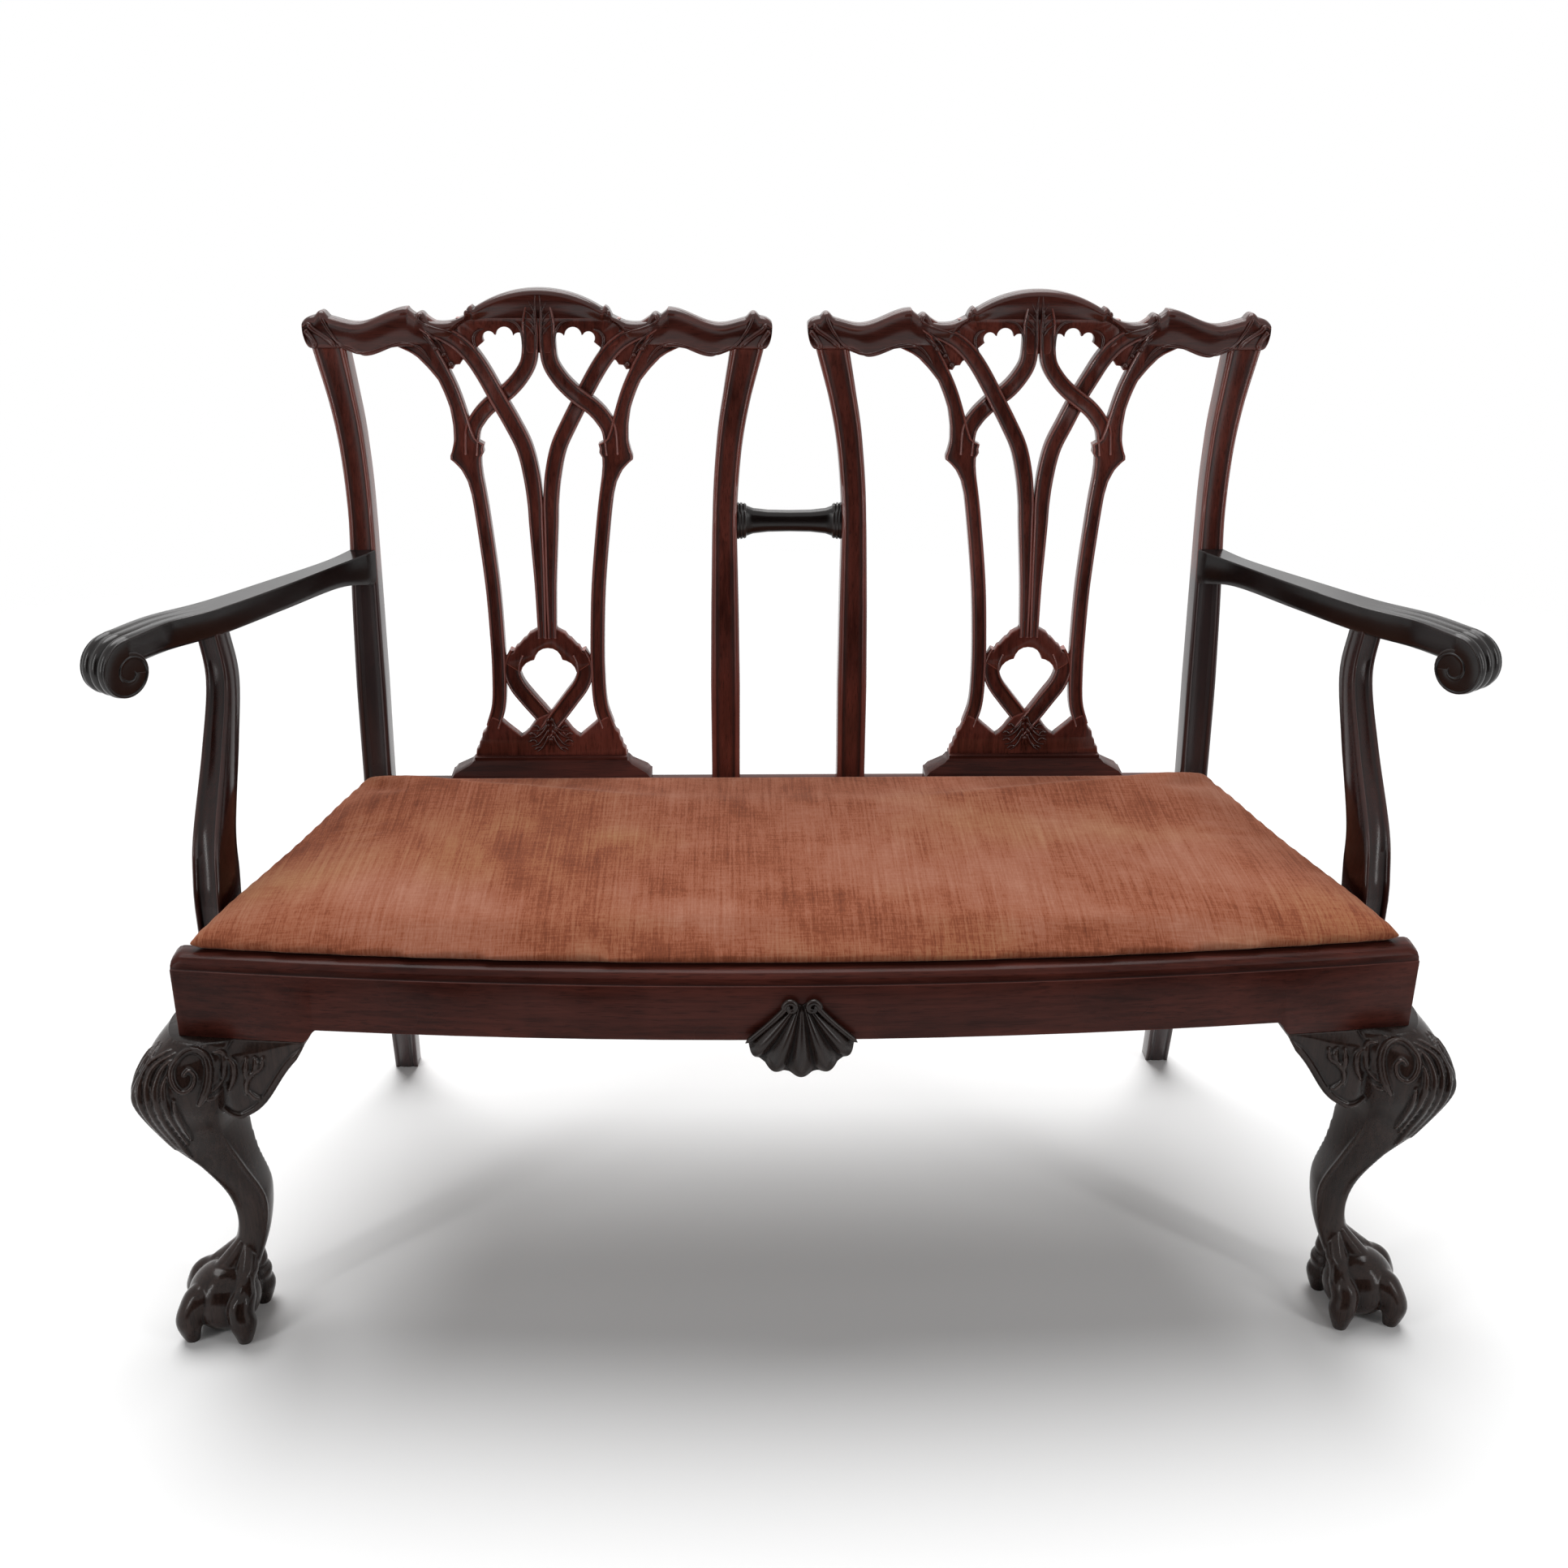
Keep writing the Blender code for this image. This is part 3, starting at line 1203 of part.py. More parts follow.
def talon(side, bearing):
    """A toe that grips the ball, with two knuckles and a claw. The bearing is from the leg's diagonal."""
    front, back, half = leg_lines()
    out, z = ball_middle()
    turn = math.radians(bearing)
    start = blend(FOOT_BASE, ANKLE_HEIGHT, 0.5)
    ankle = (height_on(front, start) + height_on(back, start)) / 2
    spread = BALL_RADIUS + TALON_OUT
    crown = z + BALL_RADIUS
    path = [(0, 0.19, start, 1), (0.5, 0.44, crown + TALON_RADIUS / 3, 1.15),
            (0.8, 0.65, blend(z, crown, 0.55), 0.9), (1, 0.83, z, 1.1),
            (1, 0.95, blend(0, z, 0.4), 0.8), (1, 0.93, -TALON_RADIUS, 0.5)]
    line = []
    for lean, share, level, thick in path:
        middle = blend(ankle, out, lean)
        line.append((middle + spread * share * math.cos(turn), spread * share * math.sin(turn), level, thick))
    line = through(line, 2)
    rings = []
    for i, (along, across, level, thick) in enumerate(line):
        ahead = line[min(i + 1, len(line) - 1)] - line[max(i - 1, 0)]
        forward = Vector(ahead[:3]).normalized()
        sideways = Vector((-math.sin(turn), math.cos(turn), 0))
        outward = sideways.cross(forward).normalized()
        ring = []
        for k in range(6):
            a = 2 * math.pi * k / 6
            offset = (sideways * math.cos(a) + outward * math.sin(a)) * TALON_RADIUS * thick
            ring.append(leg_point(side, along + offset.x, across + offset.y, level + offset.z))
        rings.append(ring)
    return loft(rings)


def front_leg(side):
    """Cabriole leg with a ball-and-claw foot, flat on the floor."""
    solid = join(leg_shaft(side), ball(side), *(talon(side, bearing) for bearing in TALON_BEARINGS))
    reach = FRONT_HALF_WIDTH
    room = box((-reach, -reach, 0), (reach, reach, RAIL_BOTTOM))
    solid = combined(solid, room, "INTERSECT")
    x, y, z = leg_place(side)
    low, high = leg_tenon(side)
    return join(solid, box((low[0] - x, low[1] - y, low[2]), (high[0] - x, high[1] - y, high[2])))


def bracket(side, start, along, outward):
    """Knee bracket below a rail: from the leg, where it is deep and swollen, to a fine tip."""
    drop = through([(0.0, 1.0), (0.18, 0.97), (0.40, 0.80), (0.70, 0.38), (1.0, 0.05)], 2)
    top = RAIL_BOTTOM - CLEARANCE
    rings = []
    for share, depth in drop:
        low = top - BRACKET_DROP * depth
        swell = BRACKET_SWELL * (1 - share) ** 1.5
        at = start + along * BRACKET_LENGTH * share
        section = [(0, top), (swell, blend(top, low, 0.35)), (swell * 0.8, blend(top, low, 0.75)), (0, low),
                   (-BRACKET_DEPTH, low), (-BRACKET_DEPTH, top)]
        rings.append([(side * (at + outward * o)[0], (at + outward * o)[1], z) for o, z in section])
    leg = leg_shaft(side)
    leg.transform(Matrix.Translation(leg_place(side)))
    return cut(loft(rings), fattened(leg, 2 * CLEARANCE))


def front_bracket(side):
    tip = np.array((BRACKET_TIP, front_y(BRACKET_TIP)))
    root = np.array((BRACKET_TIP + BRACKET_LENGTH, front_y(BRACKET_TIP + BRACKET_LENGTH)))
    along = (tip - root) / np.linalg.norm(tip - root)
    return bracket(side, root, along, np.array((-along[1], along[0])))


def side_bracket(side):
    along, out = rail_direction()
    start = np.array((side_x(SIDE_BRACKET_Y), SIDE_BRACKET_Y))
    return bracket(side, start, along, out)


# Shell

def shell():
    """Scallop shell on the front rail: ribs spread from the hinge to a lobed edge that hangs below."""
    hinge = RAIL_BOTTOM + SHELL_TOP
    back = front_y(0) - CLEARANCE
    columns = SHELL_RIBS * 4
    rings = []
    for share, depth in ((0.06, 0.45), (0.3, 0.8), (0.62, 1.0), (0.88, 0.8), (1.0, 0.35)):
        front, rear = [], []
        for i in range(columns + 1):
            angle = math.radians(blend(-SHELL_HALF_ANGLE, SHELL_HALF_ANGLE, i / columns))
            flute = 0.5 - 0.5 * math.cos(2 * math.pi * SHELL_RIBS * i / columns)
            edge = blend(SHELL_DROP, SHELL_SIDE, (angle / math.radians(SHELL_HALF_ANGLE)) ** 2)
            reach = (edge - SHELL_FLUTE * (1 - flute)) * share
            x, z = reach * math.sin(angle), hinge - reach * math.cos(angle)
            thick = max(SHELL_DEPTH * depth - SHELL_FLUTE * (1 - flute) * share, SHELL_EDGE * 0.4)
            front.append((x, back - thick, z))
            rear.append((x, back, z))
        rings.append(front + rear[::-1])
    return loft(rings)


# Drop-in seat

def seat_front(x):
    return front_y(x) + FRONT_LIP + SEAT_CLEARANCE


def seat_side(y):
    return side_x(y) - SIDE_LIP - SEAT_CLEARANCE


def seat_corner():
    """Front right corner of the drop-in seat."""
    x = FRONT_HALF_WIDTH
    for turn in range(6):
        x = seat_side(seat_front(x))
    return x


def seat_outline(inset, per_side=12):
    """Plan of the drop-in seat, drawn in by an inset."""
    reach = seat_corner() - inset
    front = [(x, seat_front(x) + inset) for x in
             (blend(-reach, reach, i / per_side) for i in range(per_side + 1))]
    back = SEAT_BACK - inset
    right = [(seat_side(y) - inset, y) for y in (blend(front[-1][1], back, i / 5) for i in range(1, 6))]
    left = [(-x, y) for x, y in reversed(right)]
    middle = [(blend(right[-1][0], left[0][0], i / 6), back) for i in range(1, 6)]
    return front + right + middle + left


def member_back(x):
    """Rear edge of the frame's front member."""
    return seat_front(x) + MEMBER_WIDTH


def rear_member_front():
    return SEAT_BACK - MEMBER_WIDTH


def member_tenon(x, y):
    """Corners of a tenon of the drop-in frame that runs front to back."""
    half = TENON_THICKNESS / 2
    middle = (FRAME_BOTTOM + FRAME_TOP) / 2
    low, high = middle - MEMBER_THICKNESS / 6, middle + MEMBER_THICKNESS / 6
    return (x - half, y - TENON_LENGTH, low), (x + half, y + TENON_LENGTH, high)


def member_tenons():
    """Every tenon of the drop-in frame, by the member that it is on and its end."""
    tenons = {}
    for name, side in (("left", -1), ("right", 1), ("cross", 0)):
        for end in ("front", "rear"):
            y = rear_member_front()
            x = side * (seat_side(y) - MEMBER_WIDTH / 2)
            if end == "front":
                x = side * (seat_side(member_back(seat_corner())) - MEMBER_WIDTH / 2)
                y = member_back(x)
            tenons[name, end] = member_tenon(x, y)
    return tenons


def front_member():
    reach = seat_corner()
    xs = [blend(-reach, reach, i / 14) for i in range(15)]
    outline = [(x, seat_front(x)) for x in xs]
    ends = min(reach, seat_side(member_back(reach)))
    outline += [(x, member_back(x)) for x in (blend(ends, -ends, i / 14) for i in range(15))]
    solid = prism(outline, FRAME_BOTTOM, FRAME_TOP)
    for (name, end), tenon in member_tenons().items():
        solid = mortise(solid, tenon) if end == "front" else solid
    return solid


def rear_member():
    near, far = rear_member_front(), SEAT_BACK
    right = [(seat_side(near), near), (seat_side(far), far)]
    left = [(-x, y) for x, y in reversed(right)]
    solid = prism(right + left, FRAME_BOTTOM, FRAME_TOP)
    for (name, end), tenon in member_tenons().items():
        solid = mortise(solid, tenon) if end == "rear" else solid
    return solid


def side_member(side):
    """Frame member between the front and the rear one, along a side rail."""
    far = rear_member_front() - CLEARANCE
    outer = seat_side(member_back(seat_corner()))
    inner = outer - MEMBER_WIDTH
    outline = [(side * outer, member_back(outer) + CLEARANCE), (side * seat_side(far), far),
               (side * (seat_side(far) - MEMBER_WIDTH), far), (side * inner, member_back(inner) + CLEARANCE)]
    solid = prism(outline, FRAME_BOTTOM, FRAME_TOP)
    tenons = member_tenons()
    name = side_name(side)
    return join(solid, box(*tenons[name, "front"]), box(*tenons[name, "rear"]))


def cross_member():
    half = CROSS_WIDTH / 2
    near, far = member_back(half) + CLEARANCE, rear_member_front() - CLEARANCE
    tenons = member_tenons()
    return join(box((-half, near, FRAME_BOTTOM), (half, far, FRAME_TOP)),
                box(*tenons["cross", "front"]), box(*tenons["cross", "rear"]))


def long_web(x):
    """A web from the front member to the rear one."""
    half = WEB_WIDTH / 2
    near = member_back(abs(x) + half) - WEB_LAP
    far = rear_member_front() + WEB_LAP
    return box((x - half, near, WEB_LEVEL), (x + half, far, WEB_LEVEL + WEB_THICKNESS))


def row_web(y):
    """A web from one side member to the other, over the long ones."""
    half = WEB_WIDTH / 2
    reach = seat_side(y + half) - MEMBER_WIDTH + WEB_LAP
    return box((-reach, y - half, ROW_LEVEL), (reach, y + half, ROW_LEVEL + WEB_THICKNESS))


def hessian():
    return prism(seat_outline(HESSIAN_INSET), HESSIAN_LEVEL, HESSIAN_LEVEL + HESSIAN_THICKNESS)


def dust_cover():
    """Cloth under the frame, inside the ledge."""
    reach = side_x(SEAT_DEPTH) - SIDE_RAIL_THICKNESS - SEAT_CLEARANCE
    near = FRONT_RAIL_THICKNESS + SEAT_CLEARANCE
    far = SEAT_DEPTH - REAR_LEDGE_WIDTH - SEAT_CLEARANCE
    top = FRAME_BOTTOM - CLEARANCE
    return box((-reach, near, top - DUST_THICKNESS), (reach, far, top))


def pad():
    """Stuffed pad in its velvet: sides drawn in at the bottom, swollen over the lip, and a crowned top."""
    middle = np.array((0, SEAT_BACK / 2))
    rings = []
    sides = [(PAD_DRAW, 0.0), (0.0, 0.12), (-PAD_SWELL * 0.6, 0.25), (-PAD_SWELL, 0.55),
             (-PAD_SWELL * 0.2, 0.85), (PAD_SWELL, 1.0)]
    for inset, share in sides:
        rings.append([(x, min(y, SEAT_BACK), PAD_LEVEL + PAD_EDGE * share) for x, y in seat_outline(inset)])
    edge = rings[-1]
    for shrink in (0.94, 0.84, 0.66, 0.44, 0.2):
        rise = blend(PAD_EDGE, PAD_HEIGHT, 1 - shrink ** 2.2)
        ring = []
        for x, y, z in edge:
            at = middle + (np.array((x, y)) - middle) * shrink
            ring.append((at[0], at[1], PAD_LEVEL + rise))
        rings.append(ring)
    return loft(rings)


# Assembly

def add_chair_back(root, side):
    name = side_name(side)
    back = group(name + "_chair_back", root, (side * BACK_AXIS, 0, 0))
    place(name + "_crest_rail", crest_rail(), RED_MAHOGANY, back)
    place(name + "_splat", splat(), RED_MAHOGANY, back)
    place(name + "_shoe", shoe(), RED_MAHOGANY, back)
    add_stiles(name, back, side)


def add_stiles(name, back, side):
    shift = -side * BACK_AXIS
    post = rear_post(side)
    for tenon in (side_back_tenon(side), rear_rail_tenon(side)):
        post = mortise(post, moved(tenon, shift))
    hole = screw_hole(*arm_screw(side))
    hole.transform(Matrix.Translation((shift, 0, 0)))
    place(name + "_rear_post", cut(post, hole), RED_MAHOGANY, back)
    stile = mortise(inner_stile(-side), moved(link_tenon(side), shift))
    place(name + "_inner_stile", stile, RED_MAHOGANY, back)


def add_side(root, side):
    name = side_name(side)
    place(name + "_side_rail", side_rail(side), RED_MAHOGANY, root)
    place(name + "_arm", arm(side), DARK_MAHOGANY, root)
    place(name + "_arm_support", arm_support(side), DARK_MAHOGANY, root)
    place(name + "_front_leg", front_leg(side), LEG_MAHOGANY, root, leg_place(side))
    place(name + "_front_bracket", front_bracket(side), LEG_MAHOGANY, root)
    place(name + "_side_bracket", side_bracket(side), LEG_MAHOGANY, root)
    place(name + "_arm_screw", screw(*arm_screw(side)), STEEL, root)
    for number, each in enumerate(support_screws(side), 1):
        place(f"{name}_support_screw_{number}", screw(*each), STEEL, root)
    for end, where in ((-1, "front"), (1, "rear")):
        low, high = block_levels()
        block = cut(prism(block_corners(side, end), low, high), screw_hole(*block_screw(side, end)))
        place(f"{name}_{where}_corner_block", block, BEECH, root)
        place(f"{name}_{where}_block_screw", screw(*block_screw(side, end)), STEEL, root)


def add_seat(root):
    origin = (0, SEAT_BACK / 2, LEDGE)
    seat = group("slip_seat", root, origin)
    pieces = [("seat_front_member", front_member(), BEECH), ("seat_rear_member", rear_member(), BEECH),
              ("seat_left_member", side_member(-1), BEECH), ("seat_right_member", side_member(1), BEECH),
              ("seat_cross_member", cross_member(), BEECH), ("seat_hessian", hessian(), JUTE),
              ("seat_dust_cover", dust_cover(), BLACK_CAMBRIC), ("seat_pad", pad(), RUST_VELVET)]
    for number, x in enumerate((-2, -1, 1, 2), 1):
        pieces.append((f"seat_long_web_{number}", long_web(x * WEB_SPACING), JUTE))
    for number, row in enumerate((-0.5, 0.5), 1):
        pieces.append((f"seat_row_web_{number}", row_web(SEAT_BACK / 2 + row * WEB_ROW_SPACING), JUTE))
    for name, mesh, finish in pieces:
        mesh.transform(Matrix.Translation(origin).inverted())
        place(name, mesh, finish, seat)


def centre_front_to_back(root):
    """Moves the whole so that y = 0 is the middle of its depth."""
    bpy.context.view_layer.update()
    depths = [(piece.matrix_world @ vert.co).y
              for piece in bpy.data.objects if piece.type == "MESH" for vert in piece.data.vertices]
    root.location.y = -(min(depths) + max(depths)) / 2


def main():
    clear_scene()
    root = group("settee")
    for side in (-1, 1):
        add_chair_back(root, side)
        add_side(root, side)
    place("front_rail", front_rail(), RED_MAHOGANY, root)
    place("rear_rail", rear_rail(), RED_MAHOGANY, root)
    place("rear_ledge", rear_ledge(), BEECH, root)
    place("connecting_rail", link_rail(), RED_MAHOGANY, root)
    place("shell_carving", shell(), LEG_MAHOGANY, root)
    add_seat(root)
    centre_front_to_back(root)


if __name__ == "__main__":
    main()
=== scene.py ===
"""Looks of a chair-back settee: polished mahogany, carved by hand, with a drop-in seat in rust velvet.

Metres, +Z up, the front towards -Y, x = 0 in the middle and the floor at z = 0.
A piece of a pair is made for a side: -1 is the left one as the settee is looked at, +1 the right one.
"""

import json
import math

import bmesh
import bpy
import numpy as np
from bpy.props import FloatProperty, FloatVectorProperty, IntProperty, PointerProperty
from mathutils import Matrix, Vector
from mathutils.bvhtree import BVHTree

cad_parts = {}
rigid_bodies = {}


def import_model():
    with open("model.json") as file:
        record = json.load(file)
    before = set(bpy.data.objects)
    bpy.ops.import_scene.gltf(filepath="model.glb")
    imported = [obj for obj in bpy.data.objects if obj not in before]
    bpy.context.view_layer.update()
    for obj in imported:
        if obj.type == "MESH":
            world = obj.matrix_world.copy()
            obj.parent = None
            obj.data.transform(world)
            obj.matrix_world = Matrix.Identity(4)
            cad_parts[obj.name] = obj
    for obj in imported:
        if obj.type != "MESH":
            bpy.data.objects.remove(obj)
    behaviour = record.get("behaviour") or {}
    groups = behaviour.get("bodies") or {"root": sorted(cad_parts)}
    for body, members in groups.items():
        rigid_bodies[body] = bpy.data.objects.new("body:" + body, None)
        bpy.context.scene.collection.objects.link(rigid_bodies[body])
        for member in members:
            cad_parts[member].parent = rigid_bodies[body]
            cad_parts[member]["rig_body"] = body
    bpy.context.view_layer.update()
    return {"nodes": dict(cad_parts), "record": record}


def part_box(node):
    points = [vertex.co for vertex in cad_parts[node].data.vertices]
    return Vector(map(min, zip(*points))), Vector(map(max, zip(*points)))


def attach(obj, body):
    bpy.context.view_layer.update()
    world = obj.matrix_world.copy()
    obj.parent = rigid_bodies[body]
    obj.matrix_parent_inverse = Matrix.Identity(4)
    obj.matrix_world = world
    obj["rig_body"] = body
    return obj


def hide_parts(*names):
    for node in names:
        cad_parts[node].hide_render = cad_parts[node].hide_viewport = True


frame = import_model()

bl_info = {
    "name": "Chair-back settee",
    "version": (1, 0, 0),
    "blender": (4, 5, 0),
    "location": "View3D > Sidebar > Settee",
    "description": "Dresses the frame of a chair-back settee in mahogany and velvet",
    "category": "Object",
}

# Sizes of the frame that the carved pieces follow
FRONT_BOW = 0.040
FRONT_HALF_WIDTH = 0.604
SEAT_DEPTH = 0.407
RAIL_BOTTOM = 0.352
BACK_AXIS = 0.2755
BACK_RAKE = 0.077
BACK_RADIUS = 3.28
BACK_RISE = 0.489
REAR_LEG_RADIUS = 0.83
REAR_SPLAY = 0.014
REAR_FOOT_WIDTH = 0.029
REAR_FOOT_DEPTH = 0.026
STILE_OFFSET = 0.2025
STILE_WIDTH = 0.030
STILE_TOP_WIDTH = 0.037
EAR_SHIFT = 0.0025
STILE_DEPTH = 0.031
STILE_BEAD = 0.0062
STILE_EDGE = 0.0042
STILE_HOLLOW = 0.0036
STILE_BACK = 0.003
STILE_RINGS = 70
FLARE_START = 0.285
FLARE_RADIUS = 0.89
CREST_DEPTH = 0.027
CREST_ROUND = 0.006
CREST_HOLLOW = 0.0035
CREST_PROUD = 0.001
EAR_OVERHANG = 0.0092
EAR_HEIGHT = 0.034
EAR_LEAF = 0.017
EAR_MIDDLE = 0.022
DIP_HEIGHT = 0.0265
DIP_INSET = 0.030
SHOULDER_X = 0.142
SHOULDER_HEIGHT = 0.0425
SCOOP_DEPTH = 0.014
ARCH_HALF = 0.073
ARCH_SPRING = 0.040
ARCH_RISE = 0.022
SPLAT_JOINT_HALF = 0.080
SPLAT_JOINT_RISE = 0.025
SHOULDER_UNDER = 0.0035
SHOULDER_UNDER_X = 0.104
UNDER_DROP = 0.008
FLUSH_HALF = 0.112
FLUSH_FADE = 0.035
SPLAT_SETBACK = 0.003
SPLAT_THICKNESS = 0.014
MM = 0.001
WEAVE = 0.0025
RING_WEAVE = 0.75
STRAP_BEAD = 0.0036
STRAP_EDGE = 0.0034
STRAP_HOLLOW = 0.0028
STRAP_BACK = 0.0015
WEB_INSET = 0.0022
WEB_RIM = 0.0012
WEB_WIDE_RIM = 0.0018
ARM_HEIGHT = 0.038
ARM_THICKNESS = 0.025
ARM_DIP = 0.005
ARM_WIDTH = 0.023
ELBOW_X = 0.600
ELBOW_Y = 0.258
ELBOW_WIDTH = 0.034
WRIST_BOW = 0.010
SCROLL_X = 0.660
SCROLL_Y = 0.144
SCROLL_DROP = 0.0335
SCROLL_RADIUS = 0.0365
SCROLL_END_RADIUS = 0.0215
SCROLL_WIDTH = 0.036
SCROLL_HEADING = 36.0
SCROLL_DEPTH = 0.0305
SCROLL_START = 115.0
SCROLL_END = -170.0
SCROLL_RINGS = 60
REED_DEPTH = 0.0038
REED_STEPS = 30
VOLUTE_START = 100.0
VOLUTE_END = -560.0
VOLUTE_STEPS = 89
VOLUTE_INSET = 0.0026
VOLUTE_EYE = 0.0045
VOLUTE_RADIUS = 0.0016
VOLUTE_SINK = 0.0006
SUPPORT_Y = 0.118
SUPPORT_HALF_THICKNESS = 0.0155
SUPPORT_HALF_DEPTH = 0.024
SUPPORT_TOP_HALF_THICKNESS = 0.0125
SUPPORT_TOP_HALF_DEPTH = 0.0135
SUPPORT_FOOT_RISE = 0.010
LEG_INSET_X = 0.014
LEG_INSET_Y = 0.015
LEG_CORNER = 0.027
LEG_HEEL = -0.042
KNEE_FLANK = 15.0
KNEE_REACH = 0.0715
KNEE_DROP = 0.0569
KNEE_HALF = 0.045
LEG_POINTS = 48
ANKLE_FRONT = -0.0087
ANKLE_BACK = -0.0575
ANKLE_HALF = 0.024
ANKLE_HEIGHT = 0.1426
BALL_RADIUS = 0.037
BALL_REACH = 0.012
BALL_SINK = 0.003
TALON_RADIUS = 0.0128
TALON_OUT = 0.006
TALON_BEARINGS = (0, 82, -82, 180)
FOOT_BASE = 0.055
LEG_POWERS = ((0.06, 1.1), (0.10, 1.35), (0.13, 1.65), (0.19, 1.8), (0.25, 1.7), (0.30, 1.35))
BRACKET_TIP = 0.480
BRACKET_LENGTH = 0.075
BRACKET_DROP = 0.082
BRACKET_DEPTH = 0.034
BRACKET_SWELL = 0.014
BRACKET_BEAD = 0.0038
ARRIS_RADIUS = 0.0026
ARRIS_SINK = 0.0012
ARRIS_CLEAR = 0.02
SIDE_BRACKET_Y = 0.030
LINK_RISE = 0.302
LINK_HALF_HEIGHT = 0.0120
LINK_HALF_DEPTH = 0.0085
PAD_LIP = 0.030
PAD_OVER = 0.013
PAD_RISE = 0.011
PAD_FADE = 0.090
PAD_CLEAR = 0.001
PAD_BEHIND_LIP = 0.003
PAD_SMOOTHING = 4
PAD_HELD = 0.35
SHELL_TOP = 0.060
SHELL_HALF_ANGLE = 49.0
SHELL_DROP = 0.083
SHELL_SIDE = 0.070
SHELL_RIBS = 5
SHELL_DEPTH = 0.015
SHELL_LEAST = 0.0012
SHELL_FLUTE = 0.0085
SHELL_SCALLOP = 0.0022
SHELL_STEPS = 14
CURL_PROUD = 0.0050

# Places read from the frame
CORNER_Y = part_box("front_rail")[0].y + FRONT_BOW
RAIL_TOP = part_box("front_rail")[1].z
SHOE_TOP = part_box("left_shoe")[1].z
ARM_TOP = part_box("left_arm")[1].z
POST_TOP = RAIL_TOP + BACK_RISE
SPLAT_TOP = POST_TOP + SPLAT_JOINT_RISE
POST_OUTER = BACK_AXIS + STILE_OFFSET + STILE_WIDTH / 2

# Widths of a stile by its share of the height above the rail
STILE_WIDTHS = ((0, 0.0325), (0.24, 0.0335), (0.42, 0.0315), (0.63, 0.0275), (0.78, 0.0285), (0.90, 0.0315),
                (1.0, STILE_TOP_WIDTH))

# How far each way carving is looked for on a surface, and how near points count in the marks of its hollows
# and edges
LAY_REACH = 0.3
RELIEF_REACH = 0.0022

# Carved ridges of the backs and the knees: how proud they lie and how thick, as shares of the drawn radius
BACK_PROUD, BACK_THICK = 0.25, 1.2
KNEE_PROUD, KNEE_THICK = 0.6, 1.35

FLOOR_RADIUS = 3.2
FLAG_PLACE = (0, -3.0, 0.9)
FLAG_HALF = (2.1, 1.5)
KEY_ANGLE = 48.0
KEY_TURN = (-22.0, -4.0)
STRIP_SIZE = (0.16, 1.7)
STRIP_PLACE = (2.0, -1.3, 1.4)
STRIP_AIM = (0.3, 0, 0.65)
REAR_SIZE = (3.4, 1.0)
REAR_PLACE = (0, 3.0, 2.1)
REAR_AIM = (0, 0, 0.7)

# Mahogany by its finish: setting of the colour, share of it, axis of the grain, gloss and sheen
MAHOGANY = {
    "red_mahogany_x": ("red", 0.7, "x", 0.26, 0.09),
    "red_mahogany_y": ("red", 0.7, "y", 0.26, 0.09),
    "stile_mahogany": ("red", 1.5, "z", 0.15, 0.38),
    "post_mahogany": ("red", 1.4, "z", 0.15, 0.40),
    "crest_mahogany": ("red", 0.85, "x", 0.16, 0.36),
    "link_mahogany": ("dark", 1.0, "x", 0.17, 0.36),
    "arm_mahogany": ("dark", 1.0, "y", 0.17, 0.36),
    "support_mahogany": ("red", 0.3, "z", 0.12, 0.26),
    "leg_mahogany": ("leg", 1.0, "z", 0.15, 0.22),
    "shell_mahogany": ("leg", 0.6, "z", 0.2, 0.28),
}

# Darker colour of the posts below the arms
BELOW_ARM_COLOUR = (0.034, 0.029, 0.030)
BELOW_ARM_FADE = 0.02

# Bead of a moulding: shares of its width, from the edge inwards, and of its depth
BEAD_SHAPE = ((0, 1.0), (0.04, 0.55), (0.18, 0.16), (0.42, 0.0), (0.68, 0.08), (0.86, 0.34), (1.0, 0.66))

# Half of the connecting rail, from its middle: share of its length and swelling, with three rings
LINK_SHAPE = ((0, 1.0), (0.4, 1.04), (0.68, 1.2), (0.80, 1.42), (0.815, 1.62), (0.85, 1.7), (0.87, 1.58),
              (0.885, 1.72), (0.915, 1.76), (0.93, 1.6), (0.945, 1.74), (0.975, 1.74), (1.0, 1.62))

# Bends of an arm support: shares of its rise, of its way outwards and backwards, and of its size
SUPPORT_BENDS = ((0, 0, 0, 1), (0.1, 0.05, 0.05, 1), (0.27, 0.2, 0.19, 0.75), (0.55, 0.33, 0.63, 0.35),
                 (0.79, 0.5, 0.95, 0.1), (1, 1, 1, 0))

# Knee bracket from inside the leg to its tip: share of its length and of its depth
BRACKET_SHAPE = ((-0.55, 0.45), (-0.30, 0.76), (0.0, 1.0), (0.18, 0.97), (0.40, 0.80), (0.70, 0.38),
                 (1.0, 0.05))

# Face of a bracket from the rail downwards: share of its swelling and of its depth
BRACKET_FACE = ((0.8, 0.15), (1, 0.35), (0.92, 0.6), (0.7, 0.85))

# A curl of the shell and the edge that runs down from it, from the middle and above the rail's lower edge
SHELL_CURL = ((0.0150, 0.0480), (0.0168, 0.0545), (0.0118, 0.0590), (0.0066, 0.0562), (0.0070, 0.0510),
              (0.0112, 0.0496), (0.0124, 0.0532), (0.0102, 0.0542))
SHELL_EDGE = ((0.0135, 0.0555), (0.0195, 0.0475), (0.0310, 0.0350), (0.0430, 0.0235), (0.0535, 0.0140))

# Shell from its hinge to its edge: share of its length and of its thickness
SHELL_SHAPE = ((0.08, 0.10), (0.2, 0.40), (0.42, 0.80), (0.66, 1.0), (0.86, 0.92), (1.0, 0.5))

# Small curls on the crest's upper edge: place from the middle, half width, height
CREST_LIPS = ((0.2350, 0.0070, 0.0050), (0.1262, 0.0070, 0.0060), (0.0755, 0.0050, 0.0060))

